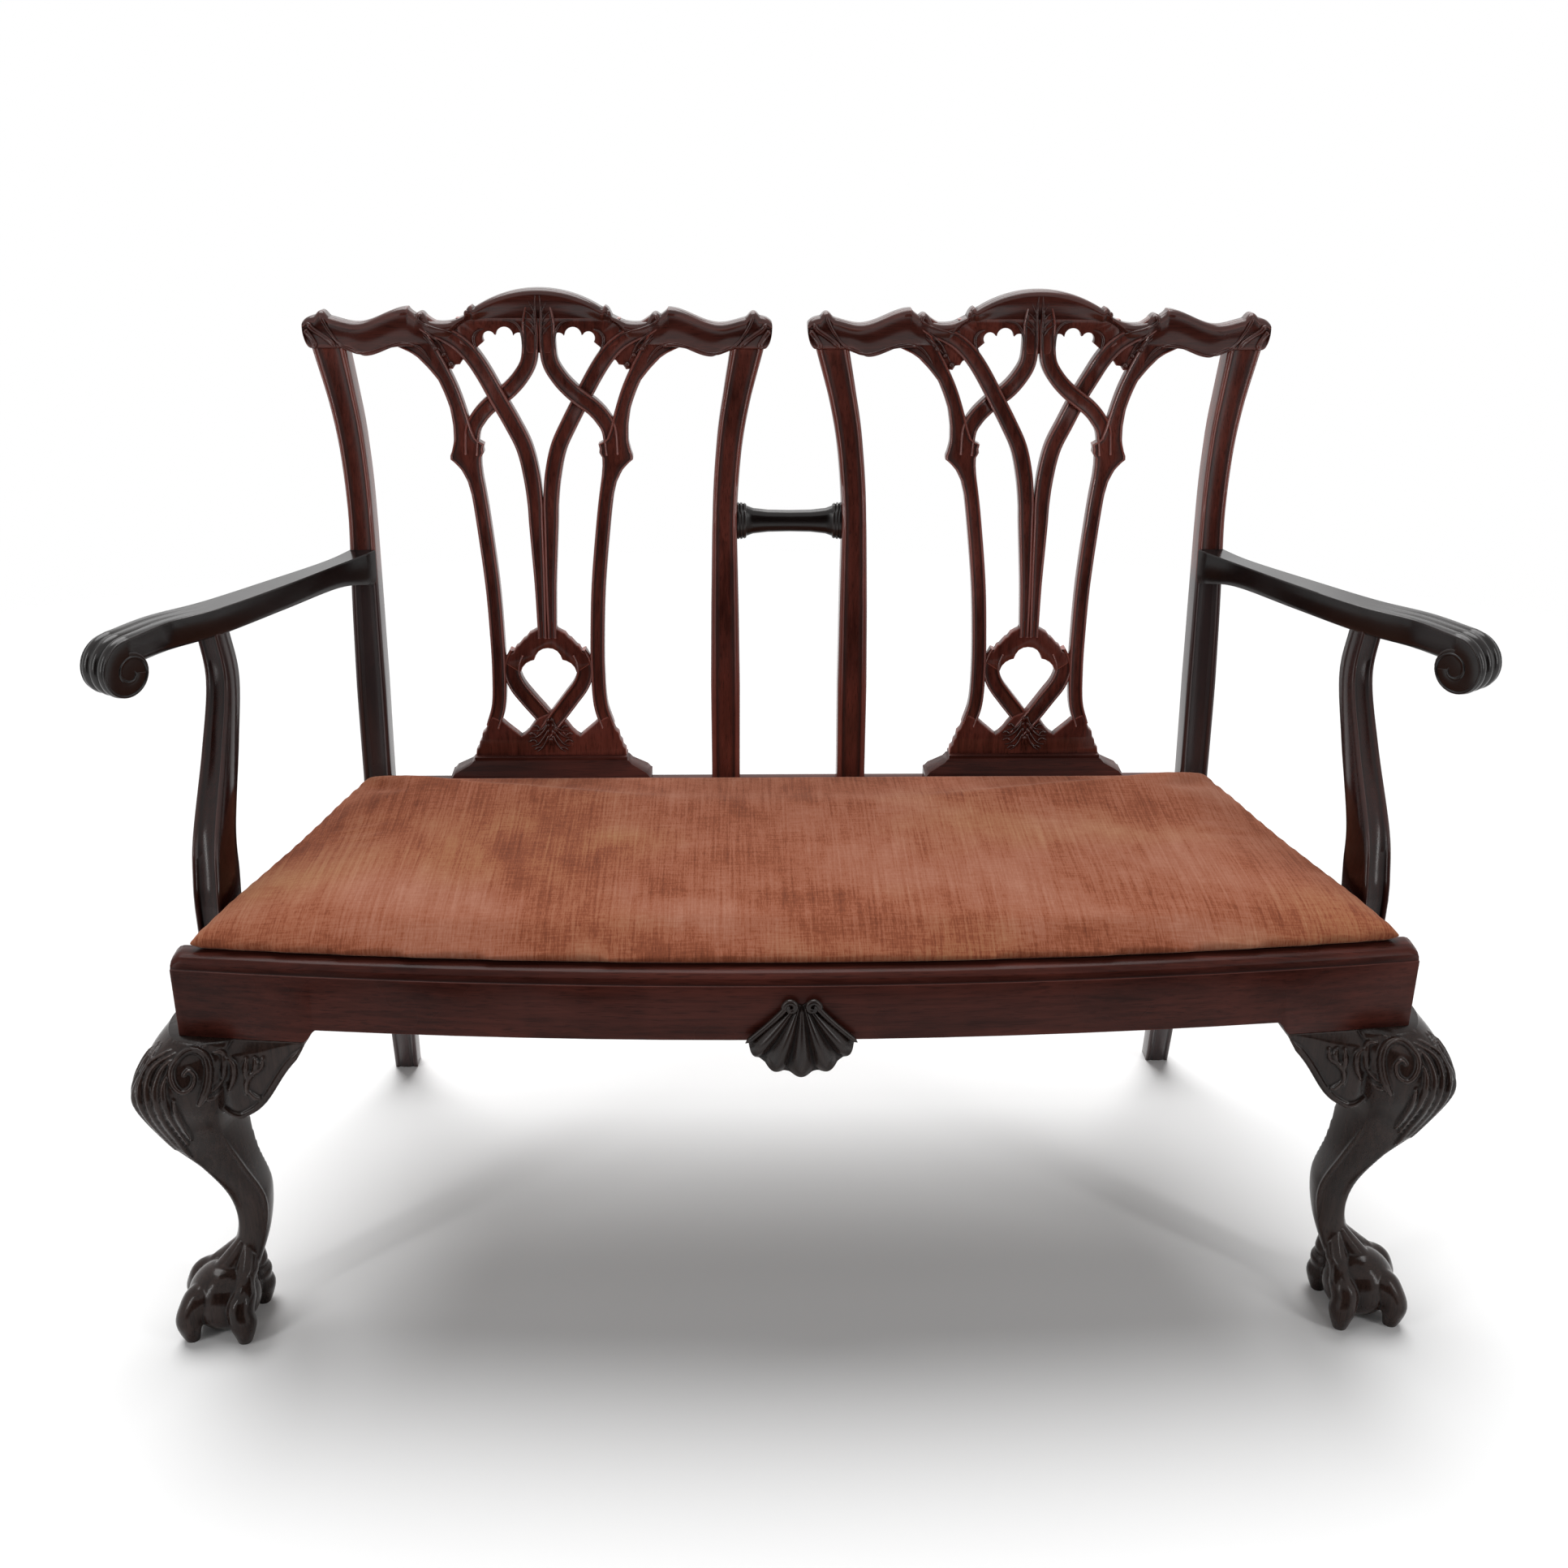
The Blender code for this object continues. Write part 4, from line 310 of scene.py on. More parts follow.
# Carving of a chair back, mirrored about its middle. A line is its points in mm, from the middle and below
# the crest joint, its greatest radius in mm and its taper.
BACK_CARVING = (
    ([(236.5, 34), (240, 26), (245, 17), (250, 10), (254, 5)], 3.0, "even"),
    ([(213.5, 36), (217, 27), (226, 18), (236, 11), (245, 5), (250, -2)], 2.7, "even"),
    ([(236, -10), (232, -1), (227, 8), (219, 18), (208, 25.5), (197, 29), (186, 29), (173, 25), (156, 19.5),
      (143, 18)], 2.2, "drop"),
    ([(165, 24), (155, 21.5), (143, 20.5), (133, 23), (125, 30), (118, 40)], 1.9, "swell"),
    ([(127, -11), (130.5, -6), (125, -1), (113, 3.5), (100, 6.5), (88, 11)], 2.0, "drop"),
    ([(76, -15), (79, -11), (84, -9)], 1.9, "swell"),
    ([(126, 13), (119, 19), (114, 24)], 1.4, "swell"),
    ([(126, 9), (115, 21), (105, 31)], 1.4, "swell"),
    ([(122, 7), (109, 20), (98, 39)], 1.4, "swell"),
    ([(115, 23), (113, 25), (111, 27)], 2.6, "swell"),
    ([(106, 30), (104, 32), (102, 34.5)], 2.9, "swell"),
    ([(98.5, 39), (96.5, 42), (94.5, 45)], 3.0, "swell"),
    ([(60, 5), (67, 8), (71, 14), (70, 22), (66, 30)], 1.7, "swell"),
    ([(38, -4), (27, -2), (20.5, 4), (17.5, 13), (17.5, 26)], 1.6, "swell"),
    ([(2.4, 26), (2.8, 6), (3.4, -8), (3.0, -20), (2.2, -31)], 1.3, "swell"),
    ([(3, -12), (7, -18), (9.5, -24)], 1.1, "drop"),
    ([(3, -3), (8, -9), (14, -14)], 1.3, "drop"),
    ([(3.5, 4), (9, -2), (17, -8)], 1.4, "drop"),
    ([(4.5, 11), (10, 4), (19, -2)], 1.3, "drop"),
    ([(1, 434), (5, 443), (12, 449), (21, 450)], 2.1, "drop"),
    ([(2, 441), (8, 450), (16, 457), (25, 458)], 2.1, "drop"),
    ([(2, 448), (8, 458), (15, 466), (23, 468)], 2.0, "drop"),
    ([(2, 455), (6, 464), (11, 471), (17, 475)], 1.9, "drop"),
    ([(0.5, 458), (2, 467), (3, 476)], 1.7, "drop"),
    ([(11, 449), (16, 444), (20, 445)], 1.6, "swell"),
    ([(16, 457), (21, 453), (26, 454)], 1.6, "swell"),
    ([(15, 465), (20, 461), (26, 463)], 1.6, "swell"),
    ([(10, 470), (15, 470), (20, 473)], 1.4, "swell"),
)

# Carving of a knee in the same way, from the leg's axis outwards and above the floor. Lines that reach no
# further inwards than KNEE_FLANK, in mm, are repeated on the leg's other face.
KNEE_CARVING = (
    ([(-7.8, 294.5), (-16.6, 311.6), (-20.1, 329.3), (-17.4, 343), (-6.4, 348.5), (6, 345), (14.7, 334.5),
      (13, 321.6), (5.3, 312.9), (-3.9, 316.6), (-6.9, 327), (-1.5, 333), (3.4, 328.3)], 3.1, "drop"),
    ([(18.6, 346.7), (37.6, 335.9), (45, 322), (46.8, 307.8), (42.8, 286.7), (35.6, 257.8), (27.6, 228.3)],
     2.7, "swell"),
    ([(13.2, 345.4), (31.4, 335), (38.2, 320.3), (37.5, 301.8), (34.3, 277), (28.4, 247.5), (22.1, 223.9)],
     2.7, "swell"),
    ([(16, 341), (24.2, 332.9), (30.1, 317.4), (29.5, 298.5), (27, 270.2), (22.1, 240.7), (18.3, 216)],
     2.7, "swell"),
    ([(19.6, 328.5), (22.7, 316), (21.7, 297.6), (19.4, 268.9), (15.7, 235.8)], 2.5, "swell"),
    ([(13.5, 305), (13.8, 290), (12.8, 265), (11.3, 241.9)], 2.3, "swell"),
    ([(-24, 346), (-31.4, 344), (-32.4, 330.5), (-28.5, 315.2), (-19.1, 306.2)], 2.3, "swell"),
    ([(-34.4, 339.3), (-40.7, 330.7), (-39.5, 316.5), (-33.3, 301.6)], 2.2, "swell"),
    ([(-14.2, 299.2), (-20.6, 300.8), (-28, 305)], 2.4, "swell"),
    ([(-49, 293.4), (-51.3, 310.3), (-58.4, 320.2), (-66.1, 325.8), (-69.4, 336.1)], 2.1, "swell"),
    ([(-51.3, 310.3), (-51.5, 323.1), (-53.5, 336)], 1.9, "swell"),
    ([(-57.5, 318.7), (-61.7, 328.6), (-61.5, 337)], 1.9, "swell"),
    ([(-50.1, 299.9), (-56.6, 290.5), (-62, 289.5)], 2.1, "swell"),
)

# Pieces by the way that they are finished
RED_PIECES = ("front_rail", "rear_rail", "shoe", "side_rail")
BEECH_PIECES = ("rear_ledge", "corner_block", "seat_front_member", "seat_rear_member", "seat_left_member",
                "seat_right_member", "seat_cross_member")
ALONG_X = ("front_rail", "rear_rail", "shoe", "rear_ledge", "seat_front_member", "seat_rear_member",
           "corner_block")


# Settings

class SetteeWood(bpy.types.PropertyGroup):
    red: FloatVectorProperty(name="Red mahogany", description="Rails, posts and chair backs", subtype="COLOR",
                             size=3, default=(0.082, 0.0200, 0.0140))
    dark: FloatVectorProperty(name="Dark mahogany", description="Arms and connecting rail", subtype="COLOR",
                              size=3, default=(0.009, 0.0060, 0.0055))
    leg: FloatVectorProperty(name="Leg mahogany", description="Front legs, brackets, shell", subtype="COLOR",
                             size=3, default=(0.027, 0.0150, 0.0120))
    beech: FloatVectorProperty(name="Beech", description="Hidden frame members and blocks", subtype="COLOR",
                               size=3, default=(0.40, 0.25, 0.13))
    edge: FloatProperty(name="Eased edge", description="Width of the worn edges", unit="LENGTH",
                        default=0.0009)
    grain: FloatProperty(name="Grain width", description="Width of a streak of the figure", unit="LENGTH",
                         default=0.006)
    voxel: FloatProperty(name="Carving fineness", description="Grid of the carved legs", unit="LENGTH",
                         default=0.0013)


class SetteeSeat(bpy.types.PropertyGroup):
    rust: FloatVectorProperty(name="Rust", description="Main colour of the velvet", subtype="COLOR", size=3,
                              default=(0.275, 0.080, 0.038))
    shade: FloatVectorProperty(name="Shade", description="Velvet brushed against the light", subtype="COLOR",
                               size=3, default=(0.120, 0.030, 0.015))
    bloom: FloatVectorProperty(name="Bloom", description="Velvet brushed with the light", subtype="COLOR",
                               size=3, default=(0.400, 0.175, 0.115))
    voxel: FloatProperty(name="Cloth grid", description="Spacing of the cloth", unit="LENGTH", default=0.006)
    pressure: FloatProperty(name="Stuffing", description="Pressure inside the cloth", default=4.0)
    swell: FloatProperty(name="Most swell", description="How far the cloth may move", unit="LENGTH",
                         default=0.007)
    frames: IntProperty(name="Steps", description="Steps of the cloth", default=20)


class SetteeStage(bpy.types.PropertyGroup):
    camera_x: FloatProperty(name="Camera across", description="From the middle", unit="LENGTH",
                            default=-0.0623)
    camera_y: FloatProperty(name="Camera back", description="From the front corners", unit="LENGTH",
                            default=-1.5)
    camera_z: FloatProperty(name="Camera height", description="From the floor", unit="LENGTH",
                            default=1.2789)
    yaw: FloatProperty(name="Yaw", description="Turn to the right", unit="ROTATION",
                       default=math.radians(1.717))
    pitch: FloatProperty(name="Pitch", description="Tilt downwards", unit="ROTATION",
                         default=math.radians(23.811))
    roll: FloatProperty(name="Roll", description="Turn about the view", unit="ROTATION",
                        default=math.radians(-0.4405))
    focal: FloatProperty(name="Focal length", description="For a 36 mm sensor, in mm", default=40.874)
    floor: FloatProperty(name="Floor", description="Brightness of the floor", default=0.97)
    fill: FloatProperty(name="Fill", description="Light from all sides", default=0.20)
    key: FloatProperty(name="Key", description="Light from above", default=2.9)
    strip: FloatProperty(name="Strips", description="Power of each side strip, in watts", default=11.0)
    rear: FloatProperty(name="Rear light", description="Power of the soft box behind, in watts", default=9.0)


# Node maths

class Value:
    """A number of a node tree. Arithmetic on it adds Math nodes."""

    def __init__(self, tree, socket):
        self.tree = tree
        self.socket = socket

    def math(self, operation, first, second):
        return self.tree.node("ShaderNodeMath", {"operation": operation}, {0: first, 1: second})

    def __add__(self, other):
        return self.math("ADD", self, other)

    def __radd__(self, other):
        return self.math("ADD", other, self)

    def __sub__(self, other):
        return self.math("SUBTRACT", self, other)

    def __rsub__(self, other):
        return self.math("SUBTRACT", other, self)

    def __mul__(self, other):
        return self.math("MULTIPLY", self, other)

    def __rmul__(self, other):
        return self.math("MULTIPLY", other, self)

    def between(self, low, high):
        """0 at low, 1 at high and a straight rise or fall between them."""
        ends = {0: self, 1: low, 2: high, 3: 0.0, 4: 1.0}
        return self.tree.node("ShaderNodeMapRange", {"clamp": True}, ends)


class Nodes:
    """A node tree that nodes are added to."""

    def __init__(self, tree):
        self.tree = tree

    def node(self, kind, settings, sockets, output=0):
        """A new node: its settings first, then the values or links of its sockets."""
        made = self.tree.nodes.new(kind)
        for name, value in settings.items():
            setattr(made, name, value)
        for key, value in sockets.items():
            self.feed(made.inputs[key], value)
        return Value(self, made.outputs[output])

    def feed(self, socket, value):
        if isinstance(value, Value):
            self.tree.links.new(value.socket, socket)
        else:
            socket.default_value = value


class Finish(Nodes):
    """A material and the nodes that feed its shader."""

    def __init__(self, name):
        self.material = bpy.data.materials.new(name)
        self.material.use_nodes = True
        super().__init__(self.material.node_tree)
        self.shader = self.tree.nodes["Principled BSDF"]

    def set(self, **values):
        """Sockets of the shader, with spaces written as underscores."""
        for name, value in values.items():
            self.feed(self.shader.inputs[name.replace("_", " ")], value)

    def place(self, scale=(1, 1, 1)):
        """Object coordinates stretched by a scale for each axis."""
        where = self.node("ShaderNodeTexCoord", {}, {}, "Object")
        return self.node("ShaderNodeMapping", {}, {"Vector": where, "Scale": scale})

    def axis(self, letter):
        """One of the object coordinates."""
        return self.node("ShaderNodeSeparateXYZ", {}, {0: self.place()}, letter)

    def noise(self, scale, detail=2.0, distortion=0.0):
        """Noise stretched by a scale for each axis."""
        sockets = {"Vector": self.place(scale), "Scale": 1.0, "Detail": detail, "Distortion": distortion}
        return self.node("ShaderNodeTexNoise", {}, sockets)

    def mark(self, name):
        """A number that the mesh carries at each of its points."""
        return self.node("ShaderNodeAttribute", {"attribute_name": name}, {}, "Fac")

    def mix(self, share, first, second):
        """Two colours mixed."""
        return self.node("ShaderNodeMix", {"data_type": "RGBA"}, {0: share, 6: first, 7: second}, 2)

    def bump(self, height, distance, strength):
        return self.node("ShaderNodeBump", {}, {"Height": height, "Distance": distance, "Strength": strength})


# Finishes

def opaque(colour, share=1.0):
    """A colour with its alpha, made darker or lighter by a share."""
    return (*(min(part * share, 1.0) for part in colour), 1.0)


def drawn_out(axis, across, along_it):
    """Scales of a figure that is drawn out along an axis."""
    return [along_it if letter == axis else across for letter in "xyz"]


def mahogany(name, wood, dark_below=None):
    """Polished mahogany: streaks along the grain, dark pores, painted shade and dirt in the hollows, and
    rubbed edges painted lighter as highlights.
    """
    source, share, axis, gloss, sheen = MAHOGANY[name]
    colour = [share * part for part in getattr(wood, source)]
    finish = Finish(name)
    stretch = drawn_out(axis, 1 / wood.grain, 0.055 / wood.grain)
    streaks = finish.noise(stretch, 4.0, 0.5)
    pores = finish.noise([4.5 * part for part in stretch], 1.0)
    cloud = finish.noise((9, 9, 9), 3.0)
    hollow = finish.mark("hollow")
    edge = finish.mark("edge")
    tone = (streaks * 0.5 + cloud * 0.5).between(0.34, 0.66)
    base = finish.mix(tone, opaque(colour, 0.42), opaque(colour, 1.5))
    base = finish.mix(pores.between(0.44, 0.30) * 0.55, base, opaque(colour, 0.25))
    # Painted highlight with wear: sharp edges and beads are lightened towards a pale colour
    base = finish.mix(edge * 0.8, base, opaque([3.2 * part + 0.045 for part in colour]))
    # Painted shade with dirt: the hollows are darkened to about an eighth of the colour
    base = finish.mix(hollow * 0.9, base, opaque(colour, 0.12))
    if dark_below:
        # The posts are made darker below the arms, fading in over a short height
        below_arm = finish.axis("Z").between(dark_below, dark_below - BELOW_ARM_FADE)
        base = finish.mix(below_arm * 0.85, base, opaque(BELOW_ARM_COLOUR))
    finish.set(Base_Color=base)
    finish.set(Roughness=gloss + cloud.between(0.4, 0.75) * 0.10 + hollow * 0.3)
    finish.set(Specular_IOR_Level=sheen)
    finish.set(Normal=finish.bump(pores * 0.6 + streaks * 0.4, 0.00012, 0.35))
    return finish.material


def bare_wood(name, colour, axis):
    """Planed beech with short flecks."""
    wood = Finish(name)
    flecks = wood.noise(drawn_out(axis, 240.0, 14.0), 3.0)
    cloud = wood.noise((14, 14, 14))
    tone = (flecks * 0.6 + cloud * 0.4).between(0.35, 0.7)
    wood.set(Base_Color=wood.mix(tone, opaque(colour, 0.7), opaque(colour, 1.15)))
    wood.set(Roughness=0.55 + flecks * 0.2, Normal=wood.bump(flecks, 0.0003, 0.4))
    return wood.material


def woven(name, colour, pitch):
    """A plain weave: threads both ways, with a fleck of dirt."""
    cloth = Finish(name)
    across, down = [cloth.node("ShaderNodeTexWave", {"bands_direction": axis},
                               {"Vector": cloth.place(), "Scale": 0.31 / pitch, "Distortion": 0.6})
                    for axis in "XY"]
    cloud = cloth.noise((30, 30, 30), 3.0)
    weave = across * down
    cloth.set(Base_Color=cloth.mix(weave * 0.6 + cloud * 0.4, opaque(colour, 0.55), opaque(colour, 1.2)))
    cloth.set(Roughness=0.85 + weave * 0.05, Normal=cloth.bump(weave, pitch / 4, 0.6))
    return cloth.material


def velvet(name, rust, shade, bloom):
    """Ribbed velvet: fine stripes from front to back, and pile brushed lighter and darker in patches."""
    cloth = Finish(name)
    stripes = cloth.noise((420, 9, 40), 3.0, 0.1)
    threads = cloth.noise((1000, 170, 170))
    slubs = cloth.noise((60, 560, 60))
    patches = cloth.noise((4.5, 6.0, 5), 3.0, 0.9)
    brushed = cloth.noise((22, 13, 18), 3.0, 0.4)
    warm = cloth.noise((3.1, 4.3, 3))
    across = cloth.axis("X")
    pile = stripes * 0.36 + threads * 0.24 + slubs * 0.22 + patches * 0.52 + brushed * 0.26
    # Painted light: the pile is made darker towards the left of the seat and lighter towards the right
    pile = pile + across * 0.07 + 0.014
    dark = cloth.mix(pile.between(0.60, 0.80), opaque(shade), opaque(rust))
    golden = opaque((bloom[0], bloom[1] * 1.15, bloom[2] * 0.85))
    light = cloth.mix(warm.between(0.42, 0.60), opaque(bloom), golden)
    cloth.set(Base_Color=cloth.mix(pile.between(0.76, 1.02), dark, light))
    cloth.set(Roughness=0.82 + threads * 0.12, Specular_IOR_Level=0.1)
    cloth.set(Sheen_Weight=0.30, Sheen_Roughness=0.35, Sheen_Tint=(1.0, 0.72, 0.58, 1.0))
    cloth.set(Normal=cloth.bump(stripes * 0.6 + threads * 0.3 + slubs * 0.25, 0.0010, 0.7))
    return cloth.material


def steel(name):
    metal = Finish(name)
    brushed = metal.noise((900, 900, 60))
    metal.set(Base_Color=metal.mix(brushed, (0.30, 0.29, 0.28, 1), (0.55, 0.54, 0.52, 1)))
    metal.set(Metallic=1.0, Roughness=0.3 + brushed * 0.2)
    return metal.material


# Curves

def through(points, per_span):
    """A smooth curve through the given points, with so many steps between two of them."""
    points = [np.array(p, float) for p in points]
    padded = [2 * points[0] - points[1]] + points + [2 * points[-1] - points[-2]]
    curve = []
    for a, b, c, d in zip(padded, padded[1:], padded[2:], padded[3:]):
        for step in range(per_span):
            t = step / per_span
            bend = (2 * a - 5 * b + 4 * c - d) * t * t + (3 * b - a - 3 * c + d) * t ** 3
            curve.append(0.5 * (2 * b + (c - a) * t + bend))
    curve.append(points[-1])
    return curve


def ahead_of(line, i):
    """Which way a line of points runs at one of them."""
    return line[min(i + 1, len(line) - 1)] - line[max(i - 1, 0)]


def blend(a, b, t):
    return a + (b - a) * t


def ease(t):
    """0 to 1 with a level start and end."""
    t = min(max(t, 0.0), 1.0)
    return t * t * (3 - 2 * t)


def bent(value, power):
    """A power that keeps the sign."""
    return math.copysign(abs(value) ** power, value)


def along(line, at):
    """Value of a line of (place, value) pairs at a place."""
    places = [p for p, value in line]
    values = [value for p, value in line]
    if places[0] > places[-1]:
        places, values = places[::-1], values[::-1]
    return float(np.interp(at, places, values))


def arc(x, y, radius, start, end, steps):
    """Points on part of a circle, by angles in degrees."""
    turns = [math.radians(blend(start, end, i / steps)) for i in range(steps + 1)]
    return [(x + radius * math.cos(a), y + radius * math.sin(a)) for a in turns]


def circle(radius):
    """24 points on a circle."""
    return arc(0, 0, radius, 0, 345, 23)


def mirrored(points):
    """The points of one half, mirrored and in the opposite order."""
    return [(-a, b) for a, b in reversed(points)]


def back_y(z):
    """Front face of the chair backs and of the rear legs at height z."""
    rise = z - RAIL_TOP
    radius = BACK_RADIUS if rise > 0 else REAR_LEG_RADIUS
    return CORNER_Y + SEAT_DEPTH + BACK_RAKE * rise + rise * rise / (2 * radius)


def front_y(x):
    """Front face of the front rail."""
    return CORNER_Y - FRONT_BOW * (1 - (x / FRONT_HALF_WIDTH) ** 2)


def side_x(y):
    """Outer face of the right side rail."""
    return blend(FRONT_HALF_WIDTH, POST_OUTER, (y - CORNER_Y) / SEAT_DEPTH)


def side_run():
    """Level direction of the right side rail, from front to back."""
    run = np.array((POST_OUTER - FRONT_HALF_WIDTH, SEAT_DEPTH))
    return run / np.linalg.norm(run)


def stile_x(z):
    """Middle of a stile from the middle of its chair back."""
    splay = REAR_SPLAY * max(1 - z / RAIL_BOTTOM, 0.0) ** 2
    flare = max(z - RAIL_TOP - FLARE_START, 0.0) ** 2 / (2 * FLARE_RADIUS)
    return STILE_OFFSET + flare + splay + EAR_SHIFT * ease(((z - RAIL_TOP) / BACK_RISE - 0.8) / 0.2)


def stile_width(z):
    return along(STILE_WIDTHS, (z - RAIL_TOP) / BACK_RISE)


def moulded(half, bead, edge, hollow, depth, back):
    """Section of a moulded bar as (across, backwards): beads along its front edges, a hollow between."""
    right = [(half - back, depth), (half, depth - back)]
    right += [(half - bead * a, edge * b) for a, b in BEAD_SHAPE]
    right.append(((half - bead) * 0.5, hollow * 0.94))
    return right + [(0, hollow)] + mirrored(right)


def side_name(side):
    return "left" if side < 0 else "right"


# Pieces

def slot_of(node):
    return next(part["material_slot"] for part in frame["record"]["subparts"] if part["node"] == node)


def merged(node):
    """A node's solid with its loose triangles joined."""
    bm = joined([frame["nodes"][node].data])
    bmesh.ops.remove_doubles(bm, verts=bm.verts, dist=0.00002)
    return bm


def joined(meshes):
    """Several meshes as one shape."""
    bm = bmesh.new()
    for mesh in meshes:
        bm.from_mesh(mesh)
    return bm


def mesh_from(bm, name):
    mesh = bpy.data.meshes.new(name)
    bm.to_mesh(mesh)
    bm.free()
    return mesh


def together(name, *meshes):
    """One mesh from several, which are used up."""
    bm = joined(meshes)
    for mesh in meshes:
        bpy.data.meshes.remove(mesh)
    return mesh_from(bm, name)


def gathered(name, shapes):
    """One mesh from several shapes."""
    return together(name, *[mesh_from(shape, name) for shape in shapes])


def placed(name, data):
    """A new object in the scene."""
    made = bpy.data.objects.new(name, data)
    bpy.context.scene.collection.objects.link(made)
    return made


def cover(mesh, material):
    mesh.materials.clear()
    mesh.materials.append(material)


def add_piece(name, mesh, material, node, stands_for=()):
    """A finished piece that rides with a node, in place of the nodes that it stands for."""
    piece = placed(name, mesh)
    cover(mesh, material)
    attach(piece, frame["nodes"][node]["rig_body"])
    slot_of(node)
    if stands_for:
        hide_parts(*stands_for)
    return piece


def dress(node, mesh, material, *others):
    """The wood of a node, and of others that it takes in."""
    add_piece(node + "_wood", mesh, material, node, [node, *others])


def baked(name, data, *modifiers):
    """The mesh that modifiers leave, each given by its kind and settings."""
    worked = placed(name, data)
    for kind, settings in modifiers:
        modifier = worked.modifiers.new(kind, kind)
        for key, value in settings.items():
            setattr(modifier, key, value)
    depsgraph = bpy.context.evaluated_depsgraph_get()
    result = bpy.data.meshes.new_from_object(worked.evaluated_get(depsgraph))
    bpy.data.objects.remove(worked)
    return result


def skin(voxel):
    """The modifier that turns shapes into one skin on a grid."""
    return "REMESH", {"mode": "VOXEL", "voxel_size": voxel, "use_smooth_shade": True}


def read(parts, key, width, kind=float):
    """A property of a mesh's points or edges as rows of numbers."""
    values = np.zeros(len(parts) * width, kind)
    parts.foreach_get(key, values)
    return values.reshape(-1, width)


def mark_relief(mesh, force=1.0):
    """Marks each point of a mesh by how hollow or how sharp the surface is there."""
    count = len(mesh.vertices)
    points, normals = read(mesh.vertices, "co", 3), read(mesh.vertices, "normal", 3)
    ends = read(mesh.edges, "vertices", 2, int)
    turn, weight = np.zeros(count), np.zeros(count)
    for a, b in ((0, 1), (1, 0)):
        step = points[ends[:, b]] - points[ends[:, a]]
        length = np.maximum(np.linalg.norm(step, axis=1), 1e-7)
        lift = np.einsum("ij,ij->i", step, normals[ends[:, a]]) / length
        near = 1 / np.maximum(length, RELIEF_REACH)
        np.add.at(turn, ends[:, a], lift * near)
        np.add.at(weight, ends[:, a], near)
    turn /= np.maximum(weight, 1e-9)
    # The finish darkens the hollow mark as painted shade and lightens the edge mark as painted highlight
    marks = {"hollow": force * turn * 3.0, "edge": -force * turn * 1.6 - 0.25}
    for name, share in marks.items():
        layer = mesh.attributes.new(name, "FLOAT", "POINT")
        layer.data.foreach_set("value", np.clip(share, 0, 1).astype(np.float32))


def eased(node, width):
    """A node's solid with its sharp edges worn round."""
    bm = merged(node)
    bmesh.ops.dissolve_limit(bm, angle_limit=math.radians(0.6), verts=bm.verts, edges=bm.edges)
    mesh = mesh_from(bm, node)
    mesh.shade_smooth()
    worn = {"width": width, "segments": 2, "limit_method": "ANGLE", "angle_limit": math.radians(24),
            "harden_normals": True}
    result = baked(node, mesh, ("BEVEL", worn))
    mark_relief(result)
    return result


def lofted(rings):
    """A closed skin: the first ring is drawn along the others, and both ends are capped."""
    bm = bmesh.new()
    verts = [bm.verts.new(point) for point in rings[0]]
    edges = [bm.edges.new(pair) for pair in zip(verts, verts[1:] + verts[:1])]
    bmesh.ops.contextual_create(bm, geom=edges)
    for ring in rings[1:]:
        drawn = bmesh.ops.extrude_edge_only(bm, edges=edges)["geom"]
        fresh = {part for part in drawn if isinstance(part, bmesh.types.BMVert)}
        verts = [next(e.other_vert(v) for e in v.link_edges if e.other_vert(v) in fresh) for v in verts]
        edges = [bm.edges.get(pair) for pair in zip(verts, verts[1:] + verts[:1])]
        for vert, point in zip(verts, ring):
            vert.co = point
    bmesh.ops.contextual_create(bm, geom=edges)
    bmesh.ops.recalc_face_normals(bm, faces=bm.faces)
    return bm


def crisp(mesh, degrees=38):
    """Smooth shading that keeps the sharp edges, with the marks of hollows and edges that the finish paints
    shade and highlights from.
    """
    mesh.shade_smooth()
    mesh.set_sharp_from_angle(angle=math.radians(degrees))
    mark_relief(mesh, 1.8)
    return mesh


def fused(mesh, voxel):
    """Several shapes as one carved skin with soft corners."""
    result = baked(mesh.name, mesh, skin(voxel), ("SMOOTH", {"factor": 0.5, "iterations": 1}))
    mark_relief(result, 2.2)
    return result


def surface_of(*meshes):
    """The meshes as one surface that carving can be laid on."""
    bm = joined(meshes)
    tree = BVHTree.FromBMesh(bm)
    bm.free()
    return tree


def laid(surface, points, towards, proud):
    """A smooth line through the given points, pushed on to a surface and left so far above it."""
    towards = Vector(towards)
    line = []
    for point in through(points, 6):
        start = Vector(point) - towards * LAY_REACH
        hit, normal, face, distance = surface.ray_cast(start, towards, 2 * LAY_REACH)
        if hit is not None:
            line.append(hit - towards * proud)
    return line


def ridges(name, lines):
    """Carved ridges: round bars, each given by its points, its greatest radius and its taper."""
    curve = bpy.data.curves.new(name, "CURVE")
    curve.dimensions = "3D"
    curve.bevel_depth = 1.0
    curve.bevel_resolution = 3
    curve.use_fill_caps = True
    for points, radius, taper in lines:
        last = len(points) - 1
        spline = curve.splines.new("POLY")
        spline.points.add(last)
        for i, point in enumerate(points):
            spline.points[i].co = (*point, 1)
            spline.points[i].radius = radius * (0.12 + 0.88 * taper(i / last))
    mesh = baked(name, curve)
    mesh.shade_smooth()
    mark_relief(mesh)
    return mesh


def swell(t):
    """Fine at both ends, full in the middle."""
    return math.sin(math.pi * min(max(t, 0.0), 1.0)) ** 0.6


def drop_shape(t):
    """Full at the start, fine at the end."""
    return (1 - t) ** 0.7 * min(t * 12 + 0.3, 1.0)


def even(t):
    """Full, with short ends."""
    return min(t * 10, (1 - t) * 10, 1.0)


TAPERS = {"swell": swell, "drop": drop_shape, "even": even}


# Operators

